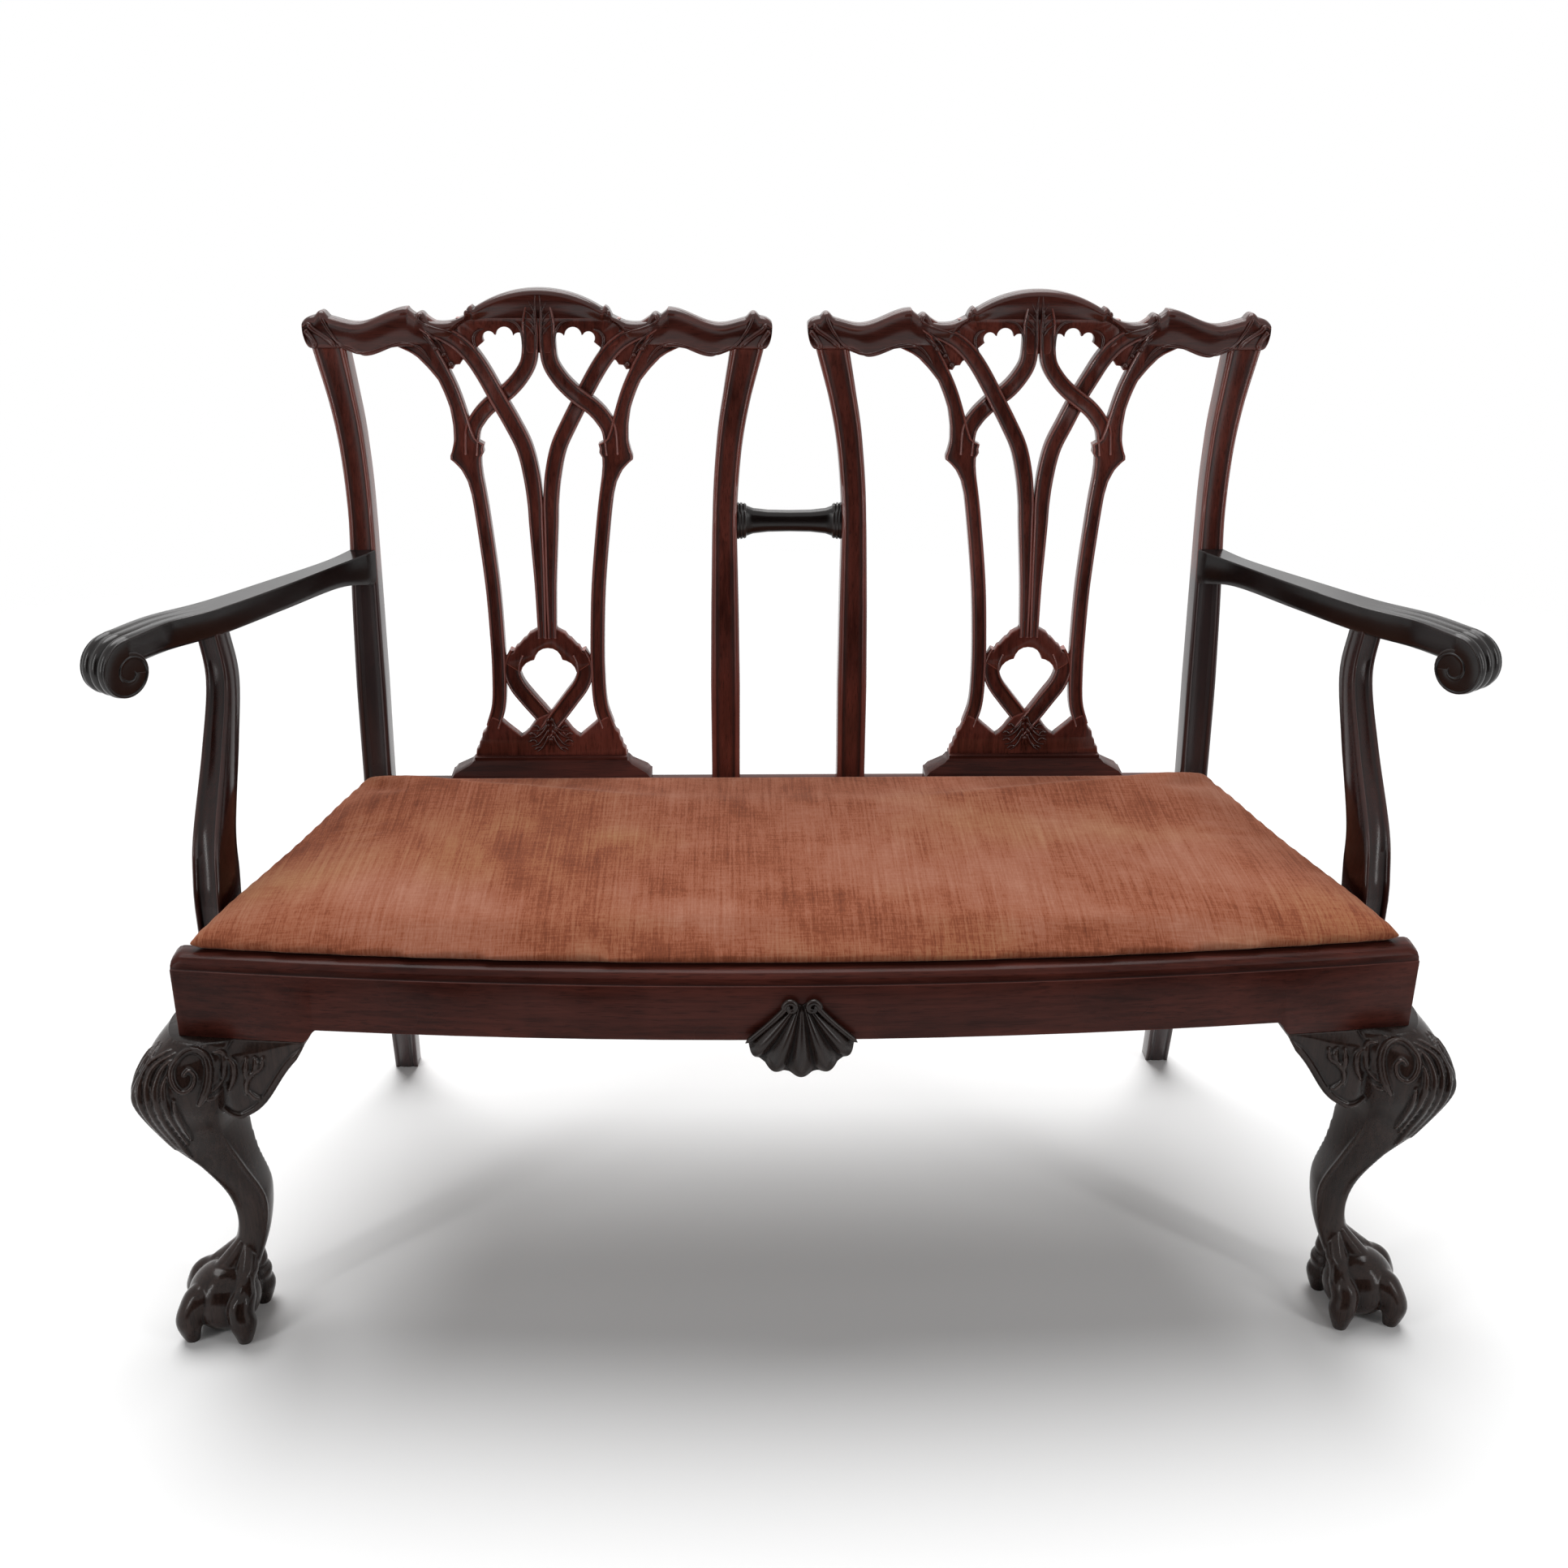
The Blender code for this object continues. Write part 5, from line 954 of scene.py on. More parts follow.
class SETTEE_OT_stage(bpy.types.Operator):
    """Camera, floor and soft light"""
    bl_idname = "settee.stage"
    bl_label = "Stage"

    def execute(self, context):
        stage = context.scene.settee_stage
        self.add_camera(context, stage)
        self.add_floor(stage)
        self.add_flag()
        self.add_light(context, stage)
        return {"FINISHED"}

    def add_camera(self, context, stage):
        lens = bpy.data.cameras.new("camera")
        lens.lens = stage.focal
        lens.sensor_width = 36
        camera = placed("camera", lens)
        forward = Vector((math.sin(stage.yaw) * math.cos(stage.pitch),
                          math.cos(stage.yaw) * math.cos(stage.pitch), -math.sin(stage.pitch)))
        level = Vector((math.cos(stage.yaw), -math.sin(stage.yaw), 0))
        down = forward.cross(level)
        right = level * math.cos(stage.roll) + down * math.sin(stage.roll)
        below = down * math.cos(stage.roll) - level * math.sin(stage.roll)
        turn = Matrix((right, -below, -forward)).transposed().to_4x4()
        place = Matrix.Translation((stage.camera_x, CORNER_Y + stage.camera_y, stage.camera_z))
        camera.matrix_world = place @ turn
        context.scene.camera = camera
        context.scene.view_settings.view_transform = "Standard"

    def add_floor(self, stage):
        """Paper floor that keeps the shadow and fades out into the background."""
        bm = bmesh.new()
        bmesh.ops.create_circle(bm, cap_ends=True, segments=96, radius=FLOOR_RADIUS)
        paper = Finish("floor_paper")
        paper.set(Base_Color=opaque((stage.floor,) * 3), Roughness=1.0, Specular_IOR_Level=0.0)
        away = paper.node("ShaderNodeVectorMath", {"operation": "LENGTH"}, {0: paper.place((1, 1.15, 1))},
                          "Value")
        clear = paper.node("ShaderNodeBsdfTransparent", {}, {})
        faded = paper.node("ShaderNodeMixShader", {}, {
            0: away.between(0.5 * FLOOR_RADIUS, 0.95 * FLOOR_RADIUS),
            1: Value(paper, paper.shader.outputs[0]), 2: clear})
        paper.feed(paper.tree.nodes["Material Output"].inputs["Surface"], faded)
        self.add_set("floor", bm, paper)

    def add_flag(self):
        """Dark cloth behind the camera that keeps glare off the polished faces."""
        bm = bmesh.new()
        x, y, z = FLAG_PLACE
        stand = Matrix.Translation((x, CORNER_Y + y, z)) @ Matrix.Rotation(math.radians(90), 4, "X")
        size = Matrix.Diagonal((*FLAG_HALF, 1, 1))
        bmesh.ops.create_grid(bm, x_segments=1, y_segments=1, size=1, matrix=stand @ size)
        cloth = Finish("flag_cloth")
        cloth.set(Base_Color=opaque((0.02, 0.02, 0.02)), Roughness=1.0, Specular_IOR_Level=0.0)
        self.add_set("flag", bm, cloth).visible_camera = False

    def add_set(self, name, bm, finish):
        piece = placed(name, mesh_from(bm, name))
        piece.data.materials.append(finish.material)
        return piece

    def add_light(self, context, stage):
        world = bpy.data.worlds.new("studio")
        context.scene.world = world
        world.use_nodes = True
        sky = Nodes(world.node_tree)
        seen = 0.0
        for ray in ("Is Camera Ray", "Is Glossy Ray", "Is Transmission Ray"):
            seen = sky.node("ShaderNodeMath", {"operation": "MAXIMUM"},
                            {0: seen, 1: sky.node("ShaderNodeLightPath", {}, {}, ray)})
        air = world.node_tree.nodes["Background"]
        sky.feed(air.inputs["Color"], (1, 1, 1, 1))
        sky.feed(air.inputs["Strength"], stage.fill + seen * (1 - stage.fill))
        key = bpy.data.lights.new("key", "SUN")
        key.energy = stage.key
        key.angle = math.radians(KEY_ANGLE)
        placed("key", key).rotation_euler = (*(math.radians(turn) for turn in KEY_TURN), 0)
        for side in (-1, 1):
            (x, y, z), (aim, *rest) = STRIP_PLACE, STRIP_AIM
            self.add_box(side_name(side) + "_strip", STRIP_SIZE, stage.strip, (side * x, CORNER_Y + y, z),
                         (side * aim, *rest))
        self.add_box("rear_light", REAR_SIZE, stage.rear, REAR_PLACE, REAR_AIM)

    def add_box(self, name, size, power, place, aim):
        """A soft box that looks at a point."""
        light = bpy.data.lights.new(name, "AREA")
        light.shape = "RECTANGLE"
        light.size, light.size_y = size
        light.energy = power
        lamp = placed(name, light)
        lamp.location = place
        lamp.rotation_euler = (Vector(aim) - Vector(place)).to_track_quat("-Z", "Y").to_euler()
        lamp.visible_camera = False


class SETTEE_OT_joinery(bpy.types.Operator):
    """Rails and shoes with worn edges, and the bare wood inside"""
    bl_idname = "settee.joinery"
    bl_label = "Joinery"

    def execute(self, context):
        wood = context.scene.settee_wood
        finishes = {}
        for node in [name for name in frame["nodes"] if name.endswith(RED_PIECES + BEECH_PIECES)]:
            red = node.endswith(RED_PIECES)
            axis = "x" if node.endswith(ALONG_X) else "y"
            if (red, axis) not in finishes:
                finishes[red, axis] = (mahogany("red_mahogany_" + axis, wood) if red else
                                       bare_wood("beech_" + axis, wood.beech, axis))
            dress(node, eased(node, wood.edge), finishes[red, axis])
        return {"FINISHED"}


class SETTEE_OT_backs(bpy.types.Operator):
    """The two chair backs: moulded posts and stiles, shaped crests, pierced and interlaced splats"""
    bl_idname = "settee.backs"
    bl_label = "Chair backs"

    def execute(self, context):
        wood = context.scene.settee_wood
        upright = mahogany("stile_mahogany", wood)
        post = mahogany("post_mahogany", wood, ARM_TOP - ARM_HEIGHT / 2)
        level = mahogany("crest_mahogany", wood)
        link = mahogany("link_mahogany", wood)
        for side in (-1, 1):
            name = side_name(side)
            middle = side * BACK_AXIS
            for inward in (False, True):
                node = name + ("_inner_stile" if inward else "_rear_post")
                shape = self.stile(-side if inward else side, RAIL_TOP if inward else 0.0)
                self.add(node, [shape], middle, upright if inward else post)
            crest = self.add(name + "_crest_rail", [self.crest()], middle, level)
            splat = self.add(name + "_splat", self.splat(), middle, upright)
            carving = ridges(name + "_back_carving", self.carving(surface_of(crest, splat), middle))
            add_piece(name + "_back_carving", carving, level, name + "_crest_rail")
        self.add("connecting_rail", [self.link()], 0, link)
        return {"FINISHED"}

    def add(self, node, shapes, middle, finish):
        mesh = gathered(node, shapes)
        mesh.transform(Matrix.Translation((middle, 0, 0)))
        dress(node, crisp(mesh), finish)
        return mesh

    def carving(self, surface, middle):
        """Ridges that lie on the crest and the splat."""
        lines = []
        for side in (-1, 1):
            for points, radius, taper in BACK_CARVING:
                drawn = [(middle + side * x * MM, back_y(SPLAT_TOP), SPLAT_TOP - drop * MM)
                         for x, drop in points]
                line = laid(surface, drawn, (0, 1, 0), BACK_PROUD * radius * MM)
                if len(line) > 2:
                    lines.append((line, BACK_THICK * radius * MM, TAPERS[taper]))
        return lines

    def link(self):
        """Waisted rail between the chair backs, with a collar of three rings at each end."""
        z = RAIL_TOP + LINK_RISE
        y = back_y(z) + STILE_DEPTH / 2
        end = BACK_AXIS - stile_x(z) - stile_width(z) / 2 + 0.001
        rings = []
        for share, swollen in (*mirrored(LINK_SHAPE[1:]), *LINK_SHAPE):
            deep, tall = LINK_HALF_DEPTH * (0.6 + 0.4 * swollen), LINK_HALF_HEIGHT * swollen
            rings.append([(share * end, y + deep * bent(a, 0.8), z + tall * bent(b, 0.8))
                          for a, b in circle(1)])
        return lofted(rings)

    def stile(self, side, bottom):
        """A post or stile from its foot to the crest."""
        rings = []
        for i in range(STILE_RINGS + 1):
            z = blend(bottom, POST_TOP, i / STILE_RINGS)
            share = min(z / RAIL_BOTTOM, 1.0)
            width = stile_width(z)
            if z < RAIL_TOP:
                width = blend(REAR_FOOT_WIDTH, stile_width(RAIL_TOP), share)
            depth = blend(REAR_FOOT_DEPTH, STILE_DEPTH, share)
            shaped = ease((z - RAIL_TOP + 0.01) / 0.02)
            section = moulded(width / 2, STILE_BEAD * width / STILE_WIDTH, STILE_EDGE * blend(0.4, 1, shaped),
                              STILE_HOLLOW * shaped, depth, STILE_BACK)
            rings.append([(side * stile_x(z) + across, back_y(z) + back, z) for across, back in section])
        return lofted(rings)

    def crest_top(self, x):
        """Upper outline with its small curls."""
        curls = [rise * max(1 - ((x - at) / half) ** 2, 0.0) for at, half, rise in CREST_LIPS]
        return self.crest_sweep(x) + sum(curls)

    def crest_sweep(self, x):
        """Upper outline: arch, scoop, shoulder, long dip and ear."""
        stile, outer, end = self.crest_ends()
        ear, dip = end - EAR_LEAF, stile - DIP_INSET
        if x <= ARCH_HALF:
            radius = (ARCH_HALF ** 2 + ARCH_RISE ** 2) / (2 * ARCH_RISE)
            return POST_TOP + ARCH_SPRING + ARCH_RISE - radius + math.sqrt(radius ** 2 - x ** 2)
        if x <= SHOULDER_X:
            share = (x - ARCH_HALF) / (SHOULDER_X - ARCH_HALF)
            scoop = SCOOP_DEPTH * math.sin(math.pi * share) ** 0.7
            return POST_TOP + blend(ARCH_SPRING, SHOULDER_HEIGHT, share) - scoop
        if x <= dip:
            return POST_TOP + blend(SHOULDER_HEIGHT, DIP_HEIGHT, ease((x - SHOULDER_X) / (dip - SHOULDER_X)))
        if x <= ear:
            return POST_TOP + blend(DIP_HEIGHT, EAR_HEIGHT, ease((x - dip) / (ear - dip)))
        fall = math.sqrt(max(1 - ((x - ear) / (end - ear)) ** 2, 0.0))
        return POST_TOP + blend(EAR_MIDDLE + CREST_ROUND / 2, EAR_HEIGHT, fall)

    def crest_under(self, x):
        """Lower outline: level over the splat, a low shoulder, a shallow belly and the stile joint."""
        stile, outer, end = self.crest_ends()
        inner = stile - STILE_TOP_WIDTH / 2
        belly = blend(SHOULDER_UNDER_X, inner, 0.8)
        if x <= SPLAT_JOINT_HALF:
            return SPLAT_TOP
        if x <= SHOULDER_UNDER_X:
            share = (x - SPLAT_JOINT_HALF) / (SHOULDER_UNDER_X - SPLAT_JOINT_HALF)
            return blend(SPLAT_TOP, POST_TOP + SHOULDER_UNDER, ease(share))
        if x <= belly:
            share = (x - SHOULDER_UNDER_X) / (belly - SHOULDER_UNDER_X)
            return POST_TOP + blend(SHOULDER_UNDER, -UNDER_DROP, ease(share * 2 - 1))
        if x <= inner:
            return POST_TOP - UNDER_DROP * ease((inner - x) / (inner - belly))
        if x <= outer:
            return POST_TOP
        return POST_TOP + EAR_MIDDLE * (1 - math.sqrt(max(1 - ((x - outer) / (end - outer)) ** 2, 0.0)))

    def crest_ends(self):
        """Middle of the stile, its outer face and the end of the crest, at the crest joint."""
        stile = stile_x(POST_TOP)
        outer = stile + STILE_TOP_WIDTH / 2
        return stile, outer, outer + EAR_OVERHANG

    def crest(self):
        """Shaped crest rail, hollowed along its face, and level with the splat in the middle."""
        stile, outer, end = self.crest_ends()
        marks = [0, ARCH_HALF, SHOULDER_X, outer, end]
        steps = [26, 64, 64, 30]
        half = [blend(a, b, i / n) for a, b, n in zip(marks, marks[1:], steps) for i in range(n)] + [end]
        front, back = -CREST_PROUD, CREST_DEPTH - CREST_PROUD
        rings = []
        for x in [-x for x in reversed(half[1:])] + half:
            low, high = self.crest_under(abs(x)), self.crest_top(abs(x))
            corner = min(CREST_ROUND, (high - low) / 3)
            flush = 1 - ease((abs(x) - FLUSH_HALF) / FLUSH_FADE)
            sunk = blend(front, SPLAT_SETBACK + WEB_INSET + 0.0008, flush)
            lip = corner * blend(0.5, 0.08, flush)
            outline = arc(sunk + lip, low + lip, lip, 270, 180, 3)
            top, bottom = high - corner, low + lip
            hollow = min(CREST_HOLLOW, (high - low) / 8) * blend(1, 0.35, flush)
            outline += [(blend(sunk, front, ease(t)) + hollow * math.sin(math.pi * t) ** 0.8,
                         blend(bottom, top, t)) for t in (0.06, 0.14, 0.24, 0.36, 0.5, 0.64, 0.78, 0.92)]
            outline += arc(front + corner, top, corner, 180, 90, 4)
            outline += arc(back - corner * 1.5, high - corner * 1.6, corner * 1.5, 80, 0, 4)
            outline += arc(back - corner / 2, low + corner / 2, corner / 2, 0, -90, 3)
            rings.append([(x, back_y(z) + depth, z) for depth, z in outline])
        return lofted(rings)

    def below_crest(self, *points):
        """Points of the splat's drawing given by their distance below the crest joint."""
        return [(x * MM, SPLAT_TOP - drop * MM) for x, drop in points]

    def above_shoe(self, *points):
        """Points of the splat's drawing given by their height above the shoe."""
        return [(x * MM, SHOE_TOP + rise * MM) for x, rise in points]

    def strap(self, path, lift, side, half, outer=None, inner=None):
        """A moulded strap along a path. Its half width and the spread of its two edges are tables by drop."""
        line = through([(side * x, z, up * WEAVE) for (x, z), up in zip(path, lift)], 8)
        rings = []
        for i, (x, z, up) in enumerate(line):
            ahead = ahead_of(line, i)
            length = math.hypot(ahead[0], ahead[1])
            across = (-ahead[1] / length, ahead[0] / length)
            drop = (SPLAT_TOP - z) / MM
            wide = along(half, drop) * MM
            ring = []
            section = moulded(wide, STRAP_BEAD, STRAP_EDGE, STRAP_HOLLOW, SPLAT_THICKNESS, STRAP_BACK)
            for offset, depth in section:
                table = outer if across[0] * offset * side > 0 else inner
                if table:
                    spread = along(table, drop) * MM
                    share = min(abs(offset) / (wide - STRAP_BEAD), 1.0)
                    offset += math.copysign(spread * share, offset)
                at = z + across[1] * offset
                ring.append((x + across[0] * offset, back_y(at) + SPLAT_SETBACK + depth - up, at))
            rings.append(ring)
        return lofted(rings)

    def web(self, outline, side, inset, rim=WEB_RIM):
        """A flat web of the splat with softened edges, given by its outline."""
        bm = bmesh.new()
        face = bm.faces.new([bm.verts.new((side * x, 0, z)) for x, z in outline])
        drawn = bmesh.ops.extrude_face_region(bm, geom=[face])["geom"]
        rear = [part for part in drawn if isinstance(part, bmesh.types.BMVert)]
        bmesh.ops.translate(bm, verts=rear, vec=(0, SPLAT_THICKNESS - 2 * inset, 0))
        bmesh.ops.recalc_face_normals(bm, faces=bm.faces)
        front = [edge for edge in bm.edges if all(vert.co.y < 1e-6 for vert in edge.verts)]
        bmesh.ops.bevel(bm, geom=front, offset=rim, offset_type="OFFSET", affect="EDGES", segments=2,
                        profile=0.5, clamp_overlap=True, material=-1)
        for vert in bm.verts:
            vert.co.y += back_y(vert.co.z) + SPLAT_SETBACK + inset
        return bm

    def lobe(self, x, drop, radius, start, end, steps):
        """Part of a circle in the crest's frame, given by its middle and its angles."""
        return [(a, 2 * drop - b) for a, b in arc(x, drop, radius, start, end, steps)]

    def splat(self):
        shapes = []
        for side in (-1, 1):
            shapes += [self.outer_strap(side), self.long_strap(side, -side), self.short_strap(side, side),
                       self.ring_strap(side, RING_WEAVE * side), self.fan_web(side), self.trefoil_web(side)]
        return shapes + [self.ring_head(), self.foot_web()]

    def outer_strap(self, side):
        """From the crest's shoulder, past the barb, down to the foot of the splat."""
        path = self.below_crest((131, 6), (119, 27), (107, 49), (96.5, 72), (87.5, 100), (80, 130),
                                (73.5, 165), (67.5, 207))
        path += self.above_shoe((60, 200), (57, 140), (56.5, 97), (58.5, 60), (66, 34))
        outer = [(6, 24), (14, 17), (20, 12), (27, 8), (39, 4), (55, 0), (86, 0), (104, 2.5), (120, 6.5),
                 (130, 11.5), (136, 15.5), (139, 15), (143, 11), (152, 5.5), (165, 1.5), (180, 0)]
        inner = [(112, 0), (122, 1.5), (126, 4.5), (129, 9), (132, 9.5), (135, 6), (138, 7), (141, 3),
                 (150, 1), (162, 0)]
        return self.strap(path, [0.0] * len(path), side, [(0, 8.2)], outer, inner)

    def long_strap(self, side, over):
        """From the crest's shoulder to the middle stem and down to the ring."""
        path = self.below_crest((130, -4), (118, 4), (104, 10), (91, 17), (80, 26), (70, 38), (59.5, 54),
                                (46.5, 77), (31.5, 104), (19, 130), (12, 160), (8.8, 190), (8.2, 215))
        path += self.above_shoe((6.1, 199), (5.6, 148), (5.6, 138))
        lift = [0.16] * 6 + [0.4, over, 0.4] + [0.16] * (len(path) - 9)
        half = [(-10, 8.2), (10, 8.6), (26, 9.4), (160, 9.4), (190, 8.8), (215, 8.2), (280, 6.4), (331, 5.4)]
        return self.strap(path, lift, side, half)

    def short_strap(self, side, over):
        """From the crest's middle, across the long strap, to the outer strap."""
        path = self.below_crest((8.5, -18), (9.4, -4), (9.4, 20), (12, 40), (21.5, 56), (34, 69), (46, 78),
                                (58, 87), (68, 98), (75.5, 112), (78, 138))
        lift = [0.08] * 5 + [0.4, over, 0.4, -0.1, -0.24, -0.4]
        return self.strap(path, lift, side, [(-18, 6.5), (0, 9.2), (100, 9.2), (138, 8)])

    def ring_strap(self, side, over):
        """From one side of the pierced ring, across the middle and into the foot."""
        path = self.above_shoe((35, 121), (40, 110), (41.5, 97), (36.4, 82.5), (25, 67), (8, 45.5), (-10, 22),
                               (-24, 4))
        lift = [-0.32, -0.32, -0.32, -0.32, -0.16, over, -0.48, -0.6]
        return self.strap(path, lift, side, [(340, 8), (375, 9.6), (430, 9.6), (470, 8)])

    def ring_head(self):
        """Head of the pierced ring: stepped lobes outside, an arch between two cusps inside."""
        outer = self.above_shoe((52, 110), (46, 118.5), (39.5, 121.5), (36, 128), (33, 129.5), (27, 136.5),
                                (24, 138), (20.5, 143), (12, 147.5), (8, 158))
        inner = self.above_shoe((0, 125.6), (5.5, 124.8), (10.5, 122), (13.8, 117.5), (16, 112),
                                (20.5, 110.8), (25.5, 108), (29.5, 103.5), (32, 97))
        outline = outer + mirrored(outer) + mirrored(inner[1:]) + inner
        return self.web(outline, 1, WEB_INSET, WEB_WIDE_RIM)

    def fan_web(self, side):
        """Fluted corner between the outer and the long strap."""
        outline = [(128, 6), (112, 34), (100, 47), (95, 47.5), (92, 43), (87, 42.5), (84, 38), (79, 36.5),
                   (66, 22), (70, 2)]
        return self.web(self.below_crest(*outline), side, WEB_INSET + 0.0012)

    def trefoil_web(self, side):
        """Scalloped head of the tear-drop opening between the long and the short strap."""
        scallops = self.lobe(54.5, 14.5, 7, -35, 150, 10) + self.lobe(37.5, 12.5, 9.5, 5, 175, 12)
        scallops += self.lobe(22, 15.5, 6.5, 30, 215, 10)
        outline = [(90, -6), (86, 20), (72, 28)] + scallops + [(12, 30), (-1, 30), (-1, -6)]
        return self.web(self.below_crest(*outline), side, WEB_INSET)

    def foot_web(self):
        """Spreading foot of the splat, with the lower edges of the two small openings."""
        half = self.above_shoe((88, -4), (86.5, 7), (83.5, 10), (82.5, 16), (80, 19), (79, 26), (75, 30),
                               (72.5, 37), (67, 46), (54, 40), (50.5, 36.5), (44, 31), (38, 26), (34, 22.5),
                               (30, 25), (25, 30), (20, 37), (14, 44))
        outline = half + self.above_shoe((0, 50)) + mirrored(half)
        return self.web(outline, 1, WEB_INSET - 0.0008, WEB_WIDE_RIM)


class SETTEE_OT_arms(bpy.types.Operator):
    """Arms with reeded scrolls, and their bowed supports"""
    bl_idname = "settee.arms"
    bl_label = "Arms"

    def execute(self, context):
        wood = context.scene.settee_wood
        arm = mahogany("arm_mahogany", wood)
        support = mahogany("support_mahogany", wood)
        for side in (-1, 1):
            name = side_name(side)
            node = name + "_arm"
            dress(node, crisp(gathered(node, [self.arm(side), self.boss(side)]), 36), arm)
            add_piece(name + "_volute", ridges(name + "_volute", self.volute(side)), arm, node)
            node = name + "_arm_support"
            dress(node, crisp(gathered(node, [self.support(side)]), 50), support)
        return {"FINISHED"}

    def scroll_frame(self):
        """Heading of the scroll, the level direction across it and its middle, for the right arm."""
        turn = math.radians(SCROLL_HEADING)
        heading = np.array((math.sin(turn), -math.cos(turn), 0))
        across = np.array((math.cos(turn), math.sin(turn), 0))
        return heading, across, np.array((SCROLL_X, CORNER_Y + SCROLL_Y, ARM_TOP - SCROLL_DROP))

    def line(self):
        """Middle of the arm's top from the post to the scroll, with its width, thickness and reeding."""
        heading, across, scroll = self.scroll_frame()
        post = np.array((POST_OUTER - STILE_WIDTH / 2, back_y(ARM_TOP)))
        elbow = np.array((ELBOW_X, CORNER_Y + ELBOW_Y))
        end = scroll[:2]
        run = end - elbow
        outward = np.array((-run[1], run[0])) / np.linalg.norm(run)
        wrist = blend(elbow, end, 0.5) + outward * WRIST_BOW
        low, top = ARM_TOP - ARM_DIP, scroll[2] + SCROLL_RADIUS
        neck, rest = blend(post, elbow, 0.22), blend(post, elbow, 0.6)
        stations = [(*post, ARM_TOP, stile_width(ARM_TOP), ARM_HEIGHT, 0),
                    (*neck, blend(ARM_TOP, low, 0.6), ARM_WIDTH, 1.08 * ARM_THICKNESS, 0),
                    (*rest, blend(ARM_TOP, low, 0.95), blend(ARM_WIDTH, ELBOW_WIDTH, 0.6),
                     1.08 * ARM_THICKNESS, 0),
                    (*elbow, low, ELBOW_WIDTH, 1.16 * ARM_THICKNESS, 0),
                    (*wrist, blend(low, top, 0.4), blend(ELBOW_WIDTH, SCROLL_WIDTH, 0.7), SCROLL_DEPTH, 0.4),
                    (*end, top, SCROLL_WIDTH, SCROLL_DEPTH, 1)]
        return through(stations, 10)

    def section(self, width, depth, reed):
        """Section of an arm as (across, outwards): three reeds, rounded edges, a narrower underside."""
        half = width / 2
        top = []
        for i in range(REED_STEPS + 1):
            a = blend(-0.93, 0.93, i / REED_STEPS)
            lobe = abs(math.sin(math.pi * 1.5 * (a + 1))) ** 0.7
            top.append((a * half, -REED_DEPTH * reed * (1 - lobe)))
        right = [(half * 0.97, -0.0005 - REED_DEPTH * reed * 0.5), (half, -0.0022 - 0.003 * reed),
                 (half, -depth * 0.72), (half * 0.95, -depth * 0.88), (half * 0.8, -depth)]
        return top + right + mirrored(right)

    def arm(self, side):
        heading, across, middle = self.scroll_frame()
        up = np.array((0, 0, 1.0))
        rings = []
        line = self.line()
        for i, (x, y, z, width, tall, reed) in enumerate(line):
            ahead = ahead_of(line, i)
            level = np.array((-ahead[1], ahead[0], 0)) / math.hypot(ahead[0], ahead[1])
            if i > len(line) - 8:
                level = blend(level, across, (i - len(line) + 8) / 7)
            if i == 0:
                level = np.array((1.0, 0, 0))
            section = self.section(width, tall, max(reed, 0))
            ring = [np.array((x, y, z)) + level * a + up * b for a, b in section]
            if i == 0:
                ring = [np.array((px, back_y(pz), pz)) for px, py, pz in ring]
            rings.append(ring)
        for i in range(1, SCROLL_RINGS + 1):
            turn = math.radians(blend(90, SCROLL_END, i / SCROLL_RINGS))
            radius = self.scroll_radius(turn)
            out = heading * math.cos(turn) + up * math.sin(turn)
            section = self.section(SCROLL_WIDTH, min(SCROLL_DEPTH, radius - 0.002), 1)
            rings.append([middle + out * (radius + b) + across * a for a, b in section])
        return lofted([[(side * x, y, z) for x, y, z in ring] for ring in rings])

    def scroll_radius(self, turn):
        share = (SCROLL_START - math.degrees(turn)) / (SCROLL_START - SCROLL_END)
        return blend(SCROLL_RADIUS, SCROLL_END_RADIUS, ease(share))

    def boss(self, side):
        """Filling of the scroll's eye."""
        heading, across, middle = self.scroll_frame()
        rings = []
        half = [(0.44, 1.0), (0.485, 0.97), (0.49, 0.9)]
        for share, size in mirrored(half) + half:
            ring = []
            for a, b in circle(SCROLL_END_RADIUS * size):
                point = middle + heading * a + across * SCROLL_WIDTH * share
                ring.append((side * point[0], point[1], point[2] + b))
            rings.append(ring)
        return lofted(rings)

    def volute(self, side):
        """Spiral ridge on each face of the scroll, from the arm's lower edge to the eye."""
        heading, across, middle = self.scroll_frame()
        lines = []
        for face in (-1, 1):
            points = []
            for i in range(VOLUTE_STEPS + 1):
                turn = math.radians(blend(VOLUTE_START, VOLUTE_END, i / VOLUTE_STEPS))
                past = (SCROLL_END - math.degrees(turn)) / (SCROLL_END - VOLUTE_END)
                radius = self.scroll_radius(turn) - VOLUTE_INSET
                if past >= 0:
                    radius = blend(SCROLL_END_RADIUS - VOLUTE_INSET, VOLUTE_EYE, past)
                point = middle + heading * radius * math.cos(turn)
                point += across * face * (SCROLL_WIDTH / 2 - VOLUTE_SINK)
                points.append((side * point[0], point[1], point[2] + radius * math.sin(turn)))
            lines.append((points, VOLUTE_RADIUS, even))
        return lines

